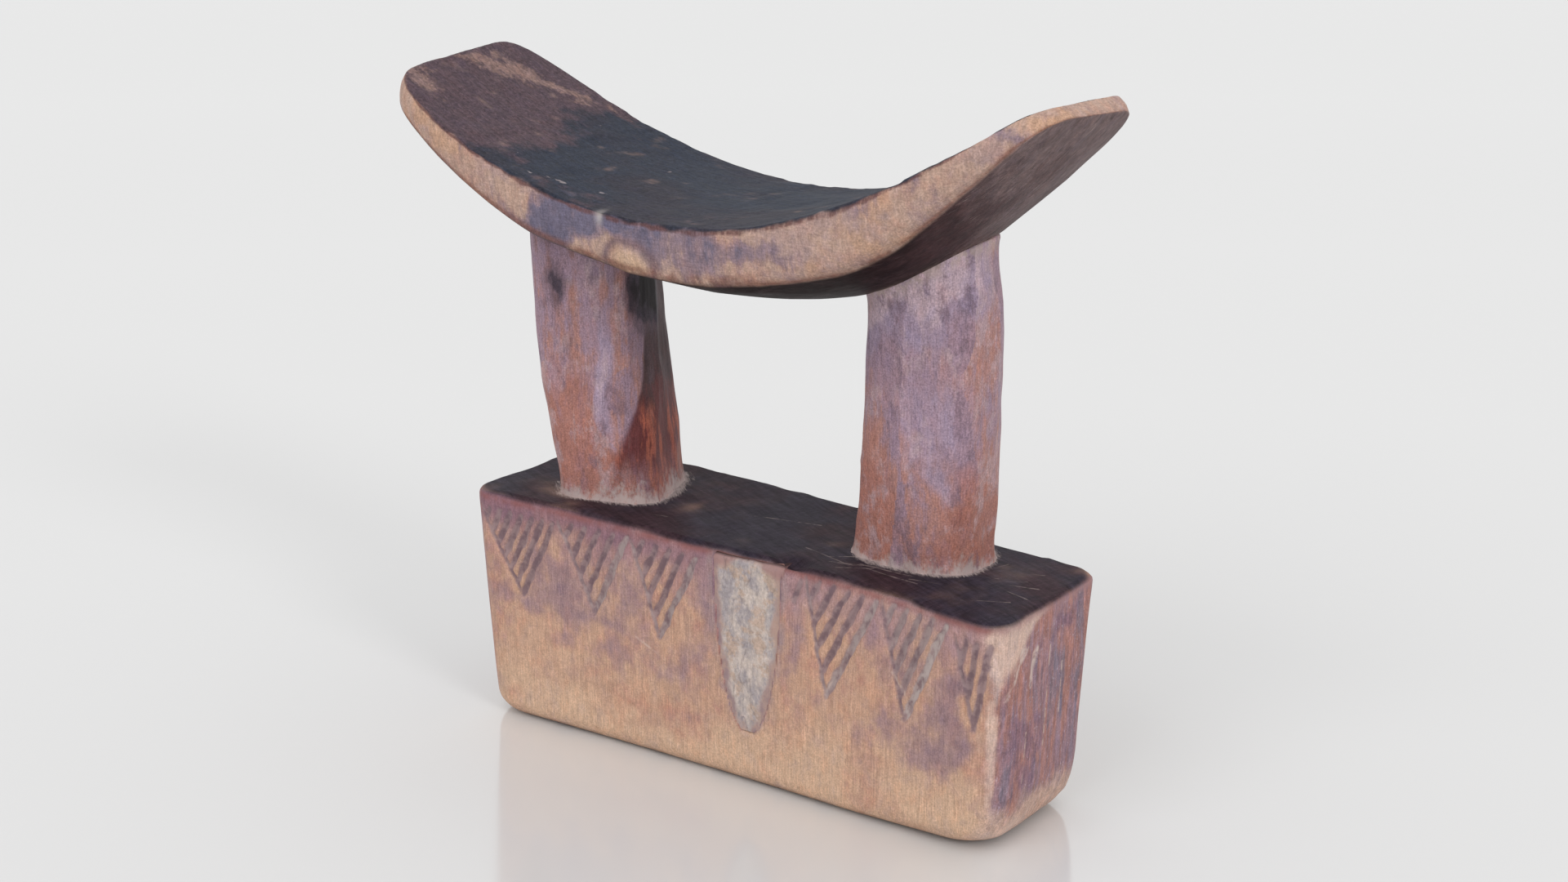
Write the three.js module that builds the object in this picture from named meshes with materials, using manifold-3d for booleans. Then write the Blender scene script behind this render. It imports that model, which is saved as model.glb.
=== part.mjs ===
// A neck rest carved from one block of wood: a curved head platform on two posts that stand on a
// long block foot. The foot's front is cut with a row of hatched triangles and has one pocket that
// was mended with grey clay. Millimetres, +Z up, the carved front faces -Y, +X to the right, and
// the origin is the middle of the underside.
//
// The wood is a single piece, so its four members are split where the carver's shapes change:
// under the platform and on top of the foot.

import * as THREE from 'three';
import { mergeVertices } from 'three/addons/utils/BufferGeometryUtils.js';
import Module from 'manifold-3d';

const wasm = await Module();
wasm.setup();

// ---- Driving dimensions --------------------------------------------------------------------

const GAP = 0.3; // clearance between neighbouring members
const HALF_TURN = Math.PI;

const FOOT = {
  left: -77,
  right: 75.5,
  front: -22.6,
  back: 24,
  height: 58.7, // above the origin
  fall: 0.0265, // how much the top drops per millimetre towards +X
  hollow: 3.2, // the front face is hollowed along its length
  swell: 2, // and the back face swells
  skew: 1.4, // and runs back towards the right end
  chipDepth: 1.8, // the worn stretch of the top front edge
  chipAt: 30,
  chipReach: 22,
  lean: { left: 0.8, right: 1, front: 2.4, back: 4 }, // the faces lean in towards the underside
  cornerRadius: 6,
  lowCornerRadius: 9.5,
  topRound: 1.2,
  roundReach: { left: 3.8, right: 7, front: 4, back: 4 }, // rounding under the faces
  roundRise: { left: 6, right: 17, front: 5, back: 5 },
};

const PLATFORM = {
  centre: [-4, -1.4], // the lowest point of the saddle
  halfLength: { left: 90.3, right: 84.9 },
  halfDepth: 31.3,
  squareness: { left: 7, right: 6.5 }, // superellipse exponents of the two ends in plan
  endSkew: { left: 3, right: -1.5 }, // an end reaches this much further out at its back corner
  taper: { // how much the front and back edges draw in towards the ends
    left: { front: -0.02, back: 0.16 },
    right: { front: 0, back: 0.2 },
  },
  endLean: 4, // the ends are cut square to the curve, so the underside reaches further out
  height: 137, // top of the saddle
  rise: { left: 29, right: 35.1 }, // above the saddle, this far out
  riseReach: 90,
  risePower: { left: 2.15, right: 1.88 },
  thickness: 13.2, // of the edge
  tipThickness: { left: 10.2, right: 5.6 },
  thinning: { left: [40, 85], right: [40, 90] }, // where the edge starts and ends getting thinner
  belly: 5.3, // the underside swells down along the middle
  bellyLean: 0.115, // and the more so per millimetre towards +X
  bellyFade: 2.6, // how late that swelling fades on the way to the ends
  undersideDepth: 0.94, // the underside is this much shallower than the top
};

const LEFT_POST = {
  foot: [-48.2, 3],
  head: [-52.3, -3],
  bow: [-1, 0],
  halfWidth: { foot: 13.6, middle: 15, head: 13.5 },
  halfDepth: { foot: 14.4, middle: 14.8, head: 13.6 },
  turn: 0.33,
  squareness: 3.4,
};

const RIGHT_POST = {
  foot: [38, 8.6],
  head: [41.1, 3.5],
  bow: [1.2, 0],
  halfWidth: { foot: 14.9, middle: 15.2, head: 13 },
  halfDepth: { foot: 12.2, middle: 12.4, head: 11.4 },
  turn: 0.06,
  squareness: 2.9,
};

const FLARE = { foot: 1.6, head: 0.6 }; // how far a post spreads where it meets its neighbours
const FLARE_HEIGHT = 0.08; // of the post's length

const GROOVE = { width: 2.1, depth: 1.1, standoff: 1 };

// The triangles point down. Each is its top left corner, its point, its top right corner and the
// number of strokes in it, counting the right side; x and z on the front face.
const TRIANGLES = [
  { left: [-73.8, 56.4], point: [-61.5, 34.6], right: [-51.2, 55.6], strokes: 7 },
  { left: [-49.6, 56.4], point: [-39.4, 34.6], right: [-28.6, 56.2], strokes: 5 },
  { left: [-27.8, 56.4], point: [-19.6, 32.2], right: [-8.2, 54.8], strokes: 5 },
  { left: [22.2, 56.4], point: [28.6, 28.8], right: [42, 54.8], strokes: 5 },
  { left: [43.4, 55.6], point: [50, 28.6], right: [61, 54.2], strokes: 5 },
  { left: [63.4, 52.6], point: [68.4, 31.2], right: [72.3, 51.6], strokes: 3 },
];
const LONE_STROKE = [[20.8, 55], [19.2, 50]];
const STROKE_DROP = 0.2; // each stroke starts this far below the line of the top corners

const FILL = {
  centre: 6.4,
  halfWidth: 9.6,
  tipHalfWidth: 1.2,
  low: 14,
  depth: 3.4,
  side: 1, // its sides slope in by this much towards the back
};

const PATINA = { color: 0x3a3038, roughness: 0.55, metalness: 0 };
const POST_WOOD = { color: 0x70453f, roughness: 0.6, metalness: 0 };
const FOOT_WOOD = { color: 0xa8765a, roughness: 0.65, metalness: 0 };
const CLAY = { color: 0xa59c92, roughness: 0.85, metalness: 0 };

// ---- Small helpers -------------------------------------------------------------------------

const mix = (a, b, t) => a + (b - a) * t;
const clamp01 = (t) => Math.min(1, Math.max(0, t));
const smoothstep = (low, high, value) => THREE.MathUtils.smoothstep(value, low, high);
const endOf = (x) => (x > 0 ? 'right' : 'left');
const signedPower = (value, power) => Math.sign(value) * Math.abs(value) ** power;

// A superellipse in plan, with its own length and exponent for each end, as evenly spaced points.
class Superellipse extends THREE.Curve {
  constructor(halfLength, halfDepth, squareness) {
    super();
    Object.assign(this, { halfLength, halfDepth, squareness, arcLengthDivisions: 1200 });
  }

  getPoint(t, target = new THREE.Vector3()) {
    const angle = t * 2 * HALF_TURN;
    const end = endOf(Math.cos(angle));
    const power = 2 / this.squareness[end];
    return target.set(
      this.halfLength[end] * signedPower(Math.cos(angle), power),
      this.halfDepth * signedPower(Math.sin(angle), power),
      0,
    );
  }

  // The outline as shares of its half sizes, so that one outline serves a whole stack of rings.
  shares(count) {
    const points = this.getSpacedPoints(count).slice(0, count);
    return points.map(({ x, y }) => [
      x / this.halfLength[endOf(x)],
      y / this.halfDepth,
    ]);
  }
}

// A closed solid skinned over rings of points, each ring anticlockwise seen from above and the
// rings running from the lower middle outwards and up. Each end is closed with a fan.
function skin(rings, lowMiddle, highMiddle) {
  const count = rings[0].length;
  const points = [...rings.flat(), lowMiddle, highMiddle];
  const low = points.length - 2;
  const high = points.length - 1;
  const last = (rings.length - 1) * count;
  const faces = [];
  for (let step = 0; step < count; step += 1) {
    const next = (step + 1) % count;
    faces.push(low, next, step);
    faces.push(high, last + step, last + next);
    for (let ring = 0; ring < rings.length - 1; ring += 1) {
      const here = ring * count;
      const above = here + count;
      faces.push(here + step, here + next, above + next);
      faces.push(here + step, above + next, above + step);
    }
  }
  const geometry = new THREE.BufferGeometry();
  geometry.setAttribute('position', new THREE.Float32BufferAttribute(points.flat(), 3));
  geometry.setIndex(faces);
  return geometry;
}

function toSolid(geometry) {
  const merged = mergeVertices(geometry);
  return new wasm.Manifold(new wasm.Mesh({
    numProp: 3,
    vertProperties: new Float32Array(merged.attributes.position.array),
    triVerts: new Uint32Array(merged.index.array),
  }));
}

function toGeometry(solid) {
  const mesh = solid.getMesh();
  const geometry = new THREE.BufferGeometry();
  geometry.setAttribute('position', new THREE.BufferAttribute(mesh.vertProperties, 3));
  geometry.setIndex(new THREE.BufferAttribute(mesh.triVerts, 1));
  return geometry;
}

function part(name, geometry, finish) {
  const flat = geometry.toNonIndexed();
  flat.computeVertexNormals();
  const mesh = new THREE.Mesh(flat, new THREE.MeshStandardMaterial(finish));
  mesh.name = name;
  return mesh;
}

// ---- The block foot ------------------------------------------------------------------------

const footTop = (x) => FOOT.height - FOOT.fall * x;

// How far a face has curled under at a height, for a rounding of the given reach and rise.
function curl(height, side) {
  const up = clamp01(height / FOOT.roundRise[side]);
  return FOOT.roundReach[side] * (1 - Math.sqrt(1 - (1 - up) ** 2));
}

// Where the front face lies at a place along the foot, for a height as a share of the whole.
function frontFace(x, share) {
  const sideways = x / FOOT.right;
  const chip = FOOT.chipDepth * share ** 4 * Math.exp(-(((x - FOOT.chipAt) / FOOT.chipReach) ** 2));
  return FOOT.front + FOOT.hollow * (1 - sideways ** 2) * mix(0.5, 1, share) + FOOT.skew * sideways
    + FOOT.lean.front * (1 - share) + chip;
}

const CORNER_STEPS = 5;
const LONG_STEPS = 14;
const SHORT_STEPS = 3;

// The foot's outline at a height, pulled in by the edge rounding at the top.
function footRing(share, inset) {
  const height = share * FOOT.height;
  const face = (side) => inset + FOOT.lean[side] * (1 - share) + curl(height, side);
  const left = FOOT.left + face('left');
  const right = FOOT.right - face('right');
  const front = inset + curl(height, 'front');
  const back = FOOT.back - face('back');
  const radius = mix(FOOT.lowCornerRadius, FOOT.cornerRadius, share ** 0.5);
  const frontAt = (x) => frontFace(x, share) + front;
  const backAt = (x) => back + FOOT.swell * (1 - (x / FOOT.right) ** 2);
  const corners = [
    { x: right - radius, y: frontAt(right - radius) + radius, start: -HALF_TURN / 2, steps: SHORT_STEPS },
    { x: right - radius, y: backAt(right - radius) - radius, start: 0, steps: LONG_STEPS },
    { x: left + radius, y: backAt(left + radius) - radius, start: HALF_TURN / 2, steps: SHORT_STEPS },
    { x: left + radius, y: frontAt(left + radius) + radius, start: HALF_TURN, steps: LONG_STEPS },
  ];
  const outline = [];
  corners.forEach((corner, index) => {
    for (let step = 0; step <= CORNER_STEPS; step += 1) {
      const angle = corner.start + (step / CORNER_STEPS) * (HALF_TURN / 2);
      outline.push([corner.x + radius * Math.cos(angle), corner.y + radius * Math.sin(angle)]);
    }
    const from = outline[outline.length - 1];
    const end = corners[(index + 1) % corners.length];
    const to = [end.x + radius * Math.cos(end.start), end.y + radius * Math.sin(end.start)];
    for (let step = 1; step < corner.steps; step += 1) {
      const x = mix(from[0], to[0], step / corner.steps);
      const straight = mix(from[1], to[1], step / corner.steps);
      outline.push([x, [straight, backAt(x), straight, frontAt(x)][index]]);
    }
  });
  return outline.map(([x, y]) => [x, y, share * footTop(x)]);
}

// A V-shaped cutter for one groove between two points of the front face.
function grooveCutter(from, to) {
  const run = new THREE.Vector2(to[0] - from[0], to[1] - from[1]).normalize();
  const side = [-run.y, run.x];
  const flare = (GROOVE.depth + GROOVE.standoff) / GROOVE.depth;
  const half = (GROOVE.width / 2) * flare;
  const section = ([x, z]) => {
    const face = frontFace(x, z / footTop(x));
    return [
      [x + side[0] * half, face - GROOVE.standoff, z + side[1] * half],
      [x - side[0] * half, face - GROOVE.standoff, z - side[1] * half],
      [x, face + GROOVE.depth, z],
    ];
  };
  const geometry = new THREE.BufferGeometry();
  const points = [...section(from), ...section(to)];
  geometry.setAttribute('position', new THREE.Float32BufferAttribute(points.flat(), 3));
  geometry.setIndex([0, 2, 1, 3, 4, 5, 0, 1, 4, 0, 4, 3, 1, 2, 5, 1, 5, 4, 2, 0, 3, 2, 3, 5]);
  return toSolid(geometry);
}

// The grooves of one triangle: its left side, and parallel strokes that fall back to that side.
function triangleGrooves({ left, point, right, strokes }) {
  const cutters = [grooveCutter(left, point)];
  for (let stroke = 1; stroke <= strokes; stroke += 1) {
    const share = stroke / strokes;
    const top = [mix(left[0], right[0], share), mix(left[1], right[1], share) - STROKE_DROP];
    const end = [mix(left[0], point[0], share), mix(left[1], point[1], share)];
    cutters.push(grooveCutter(top, end));
  }
  return cutters;
}

// The clay fill's plan section at a height; grow widens it into the pocket that holds it.
function fillRing(z, grow) {
  const up = clamp01((z - FILL.low) / (FOOT.height - FILL.low));
  const half = mix(FILL.tipHalfWidth, FILL.halfWidth, (1 - (1 - up) ** 2.2) ** 0.6) + grow;
  const face = frontFace(FILL.centre, clamp01(z / footTop(FILL.centre)));
  const back = face + FILL.depth + grow;
  const front = face - (grow > 0 ? FILL.depth : 0);
  const inner = half - FILL.side;
  return [
    [FILL.centre - half, front, z],
    [FILL.centre + half, front, z],
    [FILL.centre + half, face + FILL.depth / 2, z],
    [FILL.centre + inner, back, z],
    [FILL.centre - inner, back, z],
    [FILL.centre - half, face + FILL.depth / 2, z],
  ];
}

const FILL_LEVELS = 9;

function fillGeometry(grow) {
  const low = FILL.low - grow;
  const high = footTop(FILL.centre) + (grow > 0 ? FILL.depth : -GAP);
  const rings = [];
  for (let level = 0; level <= FILL_LEVELS; level += 1) {
    rings.push(fillRing(mix(low, high, (level / FILL_LEVELS) ** 2), grow));
  }
  const middle = (ring) => [FILL.centre, (ring[0][1] + ring[3][1]) / 2, ring[0][2]];
  return skin(rings, middle(rings[0]), middle(rings[FILL_LEVELS]));
}

const FOOT_LEVELS = [0, 0.006, 0.025, 0.06, 0.12, 0.2, 0.32, 0.5, 0.68, 0.84, 0.95];

function makeFoot() {
  const topShare = 1 - FOOT.topRound / FOOT.height;
  const rings = FOOT_LEVELS.map((share) => footRing(share, 0));
  rings.push(footRing(topShare, 0));
  rings.push(footRing(1, FOOT.topRound));
  let block = toSolid(skin(rings, [0, 0, 0], [0, 0, footTop(0)]));
  const cutters = TRIANGLES.flatMap(triangleGrooves);
  cutters.push(grooveCutter(...LONE_STROKE));
  cutters.push(toSolid(fillGeometry(GAP)));
  cutters.forEach((cutter) => {
    block = block.subtract(cutter);
  });
  return part('base_block', toGeometry(block), FOOT_WOOD);
}

// ---- The head platform ---------------------------------------------------------------------

// The surfaces are written from the saddle's lowest point: u runs along and v runs across.
const toPlatform = (x, y) => [x - PLATFORM.centre[0], y - PLATFORM.centre[1]];
const outwards = (u) => Math.abs(u) / PLATFORM.riseReach;

function platformTop(u) {
  const end = endOf(u);
  return PLATFORM.height + PLATFORM.rise[end] * outwards(u) ** PLATFORM.risePower[end];
}

function platformUnderside(u, v) {
  const end = endOf(u);
  const thinned = smoothstep(...PLATFORM.thinning[end], Math.abs(u));
  const thickness = mix(PLATFORM.thickness, PLATFORM.tipThickness[end], thinned);
  const across = clamp01(Math.abs(v) / (PLATFORM.halfDepth * PLATFORM.undersideDepth));
  const swell = (PLATFORM.belly + PLATFORM.bellyLean * u) * (1 - across ** 2);
  return platformTop(u) - thickness - swell * (1 - clamp01(outwards(u)) ** PLATFORM.bellyFade);
}

const PLATFORM_STEPS = 84;
const INNER_RINGS = [0.25, 0.5, 0.75, 0.92]; // shares of the outline, on the top and underside

// From the underside's rim to the top's: how far in from the outline, and how far down the edge.
const RIM = [
  { inset: 1.8, down: 1 },
  { inset: 0.6, down: 0.94 },
  { inset: 0, down: 0.78 },
  { inset: 0, down: 0.14 },
  { inset: 0.4, down: 0.04 },
  { inset: 1.3, down: 0 },
];

const platformOutline = new Superellipse(PLATFORM.halfLength, PLATFORM.halfDepth, PLATFORM.squareness)
  .shares(PLATFORM_STEPS);

// One ring of the platform, at a share of its outline and inset from it.
function platformRing(share, inset, down) {
  return platformOutline.map(([p, q]) => {
    const end = endOf(p);
    const skew = PLATFORM.endSkew[end] * q * Math.abs(p);
    const halfLength = PLATFORM.halfLength[end] + skew + PLATFORM.endLean * down;
    const halfDepth = PLATFORM.halfDepth * mix(1, PLATFORM.undersideDepth, down);
    const taper = PLATFORM.taper[end][q > 0 ? 'back' : 'front'] * p ** 4;
    const u = p * (halfLength * share - inset);
    const v = q * (halfDepth * share - inset) * (1 - taper);
    return [u, v, mix(platformTop(u), platformUnderside(u, v), down)];
  });
}

function makePlatform() {
  const rings = [
    ...INNER_RINGS.map((share) => platformRing(share, 0, 1)),
    ...RIM.map(({ inset, down }) => platformRing(1, inset, down)),
    ...INNER_RINGS.toReversed().map((share) => platformRing(share, 0, 0)),
  ];
  const geometry = skin(rings, [0, 0, platformUnderside(0, 0)], [0, 0, platformTop(0)]);
  const platform = part('head_platform', geometry, PATINA);
  platform.position.set(...PLATFORM.centre, 0);
  return platform;
}

// ---- The posts -----------------------------------------------------------------------------

const POST_STEPS = 24;
const POST_LEVELS = [0, 0.03, 0.08, 0.22, 0.4, 0.58, 0.76, 0.92, 0.97, 1];
const CAP_RINGS = [0.66, 0.33];

// A post's outline at a share of its height, from the foot's top to the platform's underside.
function postRing(post, outline, share, shrink) {
  const middle = 4 * share * (1 - share);
  const sizeAt = (size) => mix(size.foot, size.head, share)
    + (size.middle - (size.foot + size.head) / 2) * middle;
  const nearFoot = Math.max(0, 1 - share / FLARE_HEIGHT);
  const nearHead = Math.max(0, 1 - (1 - share) / FLARE_HEIGHT);
  const flare = FLARE.foot * nearFoot ** 2 + FLARE.head * nearHead ** 2;
  const halfWidth = sizeAt(post.halfWidth) + flare;
  const halfDepth = sizeAt(post.halfDepth) + flare;
  const centreX = mix(post.foot[0], post.head[0], share) + post.bow[0] * middle;
  const centreY = mix(post.foot[1], post.head[1], share) + post.bow[1] * middle;
  return outline.map(([p, q]) => {
    const [a, b] = [p * halfWidth * shrink, q * halfDepth * shrink];
    const x = centreX + a * Math.cos(post.turn) - b * Math.sin(post.turn);
    const y = centreY + a * Math.sin(post.turn) + b * Math.cos(post.turn);
    return [x, y, mix(postLow(x), postHigh(x, y), share)];
  });
}

const postLow = (x) => footTop(x) + GAP;
const postHigh = (x, y) => platformUnderside(...toPlatform(x, y)) - GAP;

function makePost(name, post) {
  const bothEnds = (value) => ({ left: value, right: value });
  const { halfWidth, halfDepth, squareness } = post;
  const outline = new Superellipse(bothEnds(halfWidth.middle), halfDepth.middle, bothEnds(squareness))
    .shares(POST_STEPS);
  const rings = [
    ...POST_LEVELS.map((share) => postRing(post, outline, share, 1)),
    ...CAP_RINGS.map((shrink) => postRing(post, outline, 1, shrink)),
  ];
  const lowMiddle = [...post.foot, postLow(post.foot[0])];
  const highMiddle = [...post.head, postHigh(...post.head)];
  return part(name, skin(rings, lowMiddle, highMiddle), POST_WOOD);
}

// ---- The whole headrest --------------------------------------------------------------------

const headrest = new THREE.Group();
headrest.name = 'headrest';
headrest.add(makeFoot());
headrest.add(part('clay_fill', fillGeometry(0), CLAY));
headrest.add(makePost('left_post', LEFT_POST));
headrest.add(makePost('right_post', RIGHT_POST));
headrest.add(makePlatform());

export default headrest;
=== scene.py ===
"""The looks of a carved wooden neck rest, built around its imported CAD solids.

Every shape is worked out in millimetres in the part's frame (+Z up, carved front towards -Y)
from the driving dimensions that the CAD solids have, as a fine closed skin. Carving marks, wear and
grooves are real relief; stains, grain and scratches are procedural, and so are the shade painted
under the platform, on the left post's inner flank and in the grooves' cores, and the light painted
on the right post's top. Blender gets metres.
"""

import itertools
import math

import bpy
import numpy as np
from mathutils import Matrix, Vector


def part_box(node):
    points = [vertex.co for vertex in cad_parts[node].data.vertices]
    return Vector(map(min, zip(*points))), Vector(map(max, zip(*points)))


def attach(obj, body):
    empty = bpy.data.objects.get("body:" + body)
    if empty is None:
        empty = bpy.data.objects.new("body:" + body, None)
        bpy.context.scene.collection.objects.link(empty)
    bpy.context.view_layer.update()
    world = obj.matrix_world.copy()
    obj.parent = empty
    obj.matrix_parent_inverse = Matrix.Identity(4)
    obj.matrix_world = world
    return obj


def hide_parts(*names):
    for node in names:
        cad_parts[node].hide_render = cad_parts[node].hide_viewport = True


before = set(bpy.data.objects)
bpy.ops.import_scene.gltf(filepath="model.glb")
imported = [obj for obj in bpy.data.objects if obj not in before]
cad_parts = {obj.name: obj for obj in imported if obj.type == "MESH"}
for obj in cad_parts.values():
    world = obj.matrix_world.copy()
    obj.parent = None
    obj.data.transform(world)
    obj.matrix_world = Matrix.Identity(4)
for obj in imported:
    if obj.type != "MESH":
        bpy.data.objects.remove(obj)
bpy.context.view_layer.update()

MM = 0.001


def box_mm(node):
    """The lowest and highest corner of a CAD node, in millimetres."""
    low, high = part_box(node)
    return np.array(low) / MM, np.array(high) / MM


# ---- Driving dimensions, in millimetres ----

foot_low, foot_high = box_mm("base_block")

FOOT = {
    "left": foot_low[0],
    "right": foot_high[0],
    "front": -22.6,
    "back": 24.0,
    "height": 58.7,
    "fall": 0.0265,
    "hollow": 3.2,
    "swell": 2.0,
    "skew": 1.4,
    "chip_depth": 1.8,
    "chip_at": 30.0,
    "chip_reach": 22.0,
    "lean": {"left": 0.8, "right": 1.0, "front": 2.4, "back": 4.0},
    "corner_radius": 6.0,
    "low_corner_radius": 9.5,
    "top_round": 1.6,
    "worn_corner": 1.7,  # how far the right front corner has worn up off the ground
    "round_reach": {"left": 3.8, "right": 7.0, "front": 4.0, "back": 4.0},
    "round_rise": {"left": 6.0, "right": 17.0, "front": 5.0, "back": 5.0},
}

PLATFORM = {
    "centre": (-4.0, -1.4),
    "half_length": (90.3, 84.9),
    "half_depth": 31.3,
    "squareness": (7.0, 6.5),
    "end_skew": (3.0, -1.5),
    "front_taper": (-0.02, 0.0),
    "back_taper": (0.16, 0.2),
    "end_lean": 4.0,
    "height": 137.0,
    "rise": (29.0, 35.1),
    "rise_reach": 90.0,
    "rise_power": (2.15, 1.88),
    "thickness": 13.2,
    "tip_thickness": (10.2, 5.6),
    "thinning": ((40.0, 40.0), (85.0, 90.0)),
    "belly": 5.3,
    "belly_lean": 0.115,
    "underside_depth": 0.94,
}

LEFT_POST = {
    "foot": (-48.2, 3.0),
    "head": (-52.3, -3.0),
    "bow": (-1.0, 0.0),
    "half_width": (13.6, 15.0, 13.5),
    "half_depth": (14.4, 14.8, 13.6),
    "turn": 0.33,
    "squareness": 3.4,
}

RIGHT_POST = {
    "foot": (38.0, 8.6),
    "head": (41.1, 3.5),
    "bow": (1.2, 0.0),
    "half_width": (14.9, 15.2, 13.0),
    "half_depth": (12.2, 12.4, 11.4),
    "turn": 0.06,
    "squareness": 2.9,
}

# The triangles point down: top left corner, point, top right corner (x and z), strokes in each.
TRIANGLES = [
    ((-73.8, 56.4), (-61.5, 34.6), (-51.2, 55.6), 7),
    ((-49.6, 56.4), (-39.4, 34.6), (-28.6, 56.2), 5),
    ((-27.8, 56.4), (-19.6, 32.2), (-8.2, 54.8), 5),
    ((22.2, 56.4), (28.6, 28.8), (42.0, 54.8), 5),
    ((43.4, 55.6), (50.0, 28.6), (61.0, 54.2), 5),
    ((63.4, 52.6), (68.4, 31.2), (72.3, 51.6), 3),
]
LONE_STROKE = ((20.8, 55.0), (19.2, 50.0))
STROKE_DROP = 0.2
SIDE_GROOVE = {"width": 1.6, "depth": 0.65}
STROKE_GROOVE = {"width": 2.2, "depth": 0.95}

FILL = {"centre": 6.4, "half_width": 9.6, "tip": 1.2, "low": 14.0, "depth": 3.4}

CAMERA = {"lens": 50.0, "azimuth": 35.739, "elevation": 16.818, "at": (0.29070, -0.39917, 0.22973)}


# ---- Numbers that vary smoothly ----


def mix(a, b, t):
    return a + (b - a) * t


def smooth(low, high, value):
    """0 below low, 1 above high and an S-curve between."""
    t = np.clip((value - low) / (high - low), 0, 1)
    return t * t * (3 - 2 * t)


def lattice(cells, seed):
    """A repeatable number from -1 to 1 for every cell of a 3-D lattice."""
    x, y, z = (cells[..., axis].astype(np.int64) for axis in range(3))
    mixed = (x * 73856093) ^ (y * 19349663) ^ (z * 83492791) ^ (seed * 2654435761)
    mixed = (mixed ^ (mixed >> 13)) * 1274126177
    mixed = mixed ^ (mixed >> 16)
    return (mixed & 0xFFFF) / 32767.5 - 1


def noise(points, size, seed, octaves=1):
    """Smooth noise from -1 to 1 whose features are about size long, which may differ by axis."""
    total, weight = 0, 1
    for octave in range(octaves):
        at = points / np.array(size) * 2**octave
        cell = np.floor(at)
        share = at - cell
        share = share * share * (3 - 2 * share)
        layer = 0
        for corner in itertools.product((0, 1), repeat=3):
            near = np.prod(np.where(corner, share, 1 - share), axis=-1)
            layer = layer + near * lattice(cell + corner, seed + octave)
        total = total + layer * weight
        weight /= 2
    return total


def gouges(points, size, seed):
    """How far each point is into its nearest gouge mark, and a random tone from 0 to 1 for the mark.

    The first is 0 in the middle of a mark and rises to about 0.5 on the ridges between marks.
    """
    at = points / np.array(size)
    cell = np.floor(at)
    nearest, tone = np.full(len(at), np.inf), np.zeros(len(at))
    for offset in itertools.product((-1, 0, 1), repeat=3):
        there = cell + offset
        jitter = [lattice(there, seed + axis) for axis in range(3)]
        away = ((at - there - 0.5 - 0.42 * np.stack(jitter, axis=-1)) ** 2).sum(-1)
        tone = np.where(away < nearest, 0.5 + 0.5 * lattice(there, seed + 5), tone)
        nearest = np.minimum(nearest, away)
    return nearest, tone


def scoops(points, size, seed):
    return gouges(points, size, seed)[0]


def bell(value, middle, width):
    """1 at the middle, fading to 0 within about two widths."""
    return np.exp(-(((value - middle) / width) ** 2))


def ragged(points, size, amount, seed):
    """The points, each shifted by noise, so that anything measured from them has ragged edges."""
    shift = [noise(points, size, seed + 10 * axis, 4) for axis in range(3)]
    return points + amount * np.stack(shift, axis=-1)


def spots(points, places):
    """Adds up soft spots, each a (centre, radii, strength)."""
    total = np.zeros(len(points))
    for centre, radii, strength in places:
        away = (((points - np.array(centre)) / np.array(radii)) ** 2).sum(-1)
        total += strength * np.exp(-away)
    return total


# ---- Skins ----


class Skin:
    """A closed skin of quads: a stack of rings, and a grid that closes each end of the stack.

    A ring starts at its front left corner and runs anticlockwise seen from above, with `long`
    steps along the front and the back and `short` steps along each side.
    """

    def __init__(self, rings, long, short, low, high):
        self.long, self.short = long, short
        self.points = [rings.reshape(-1, 3)]
        self.count = rings.shape[0] * rings.shape[1]
        self.quads = []
        index = np.arange(self.count).reshape(rings.shape[:2])
        self.weave(np.hstack([index, index[:, :1]]))
        self.close(index[0], rings[0], low, False)
        self.close(index[-1], rings[-1], high, True)
        self.points = np.vstack(self.points)
        self.quads = np.vstack(self.quads)

    def weave(self, index, upward=True):
        corners = [index[:-1, :-1], index[:-1, 1:], index[1:, 1:], index[1:, :-1]]
        quads = np.stack(corners, axis=-1).reshape(-1, 4)
        self.quads.append(quads if upward else quads[:, ::-1])

    def edges(self, ring):
        """The ring as front and back, both left to right, and left and right, front to back."""
        long, short = self.long, self.short
        looped = np.concatenate([ring, ring[:1]])
        front = looped[: long + 1]
        right = looped[long : long + short + 1]
        back = looped[long + short : 2 * long + short + 1][::-1]
        left = looped[2 * long + short :][::-1]
        return front, back, left, right

    def close(self, index, ring, surface, upward):
        """Fills the ring in with a grid whose heights come from surface(x, y)."""
        front, back, left, right = self.edges(ring[:, :2])
        s = np.linspace(0, 1, self.long + 1)[None, :, None]
        t = np.linspace(0, 1, self.short + 1)[:, None, None]
        plan = mix(front[None], back[None], t) + mix(left[:, None], right[:, None], s)
        plan = plan - mix(mix(front[0], front[-1], s), mix(back[0], back[-1], s), t)
        inner = plan[1:-1, 1:-1].reshape(-1, 2)
        heights = surface(inner[:, 0], inner[:, 1])
        grid = np.empty(plan.shape[:2], dtype=np.int64)
        grid[0], grid[-1], grid[:, 0], grid[:, -1] = self.edges(index)
        grid[1:-1, 1:-1] = self.count + np.arange(len(inner)).reshape(grid.shape[0] - 2, -1)
        self.points.append(np.column_stack([inner, heights]))
        self.count += len(inner)
        self.weave(grid, upward)

    def normals(self):
        a, b, c, d = (self.points[self.quads[:, corner]] for corner in range(4))
        faces = np.cross(c - a, d - b)
        total = np.zeros_like(self.points)
        for corner in range(4):
            np.add.at(total, self.quads[:, corner], faces)
        return total / np.linalg.norm(total, axis=1, keepdims=True)

    def raise_by(self, height):
        self.points = self.points + self.normals() * height[:, None]


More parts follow.
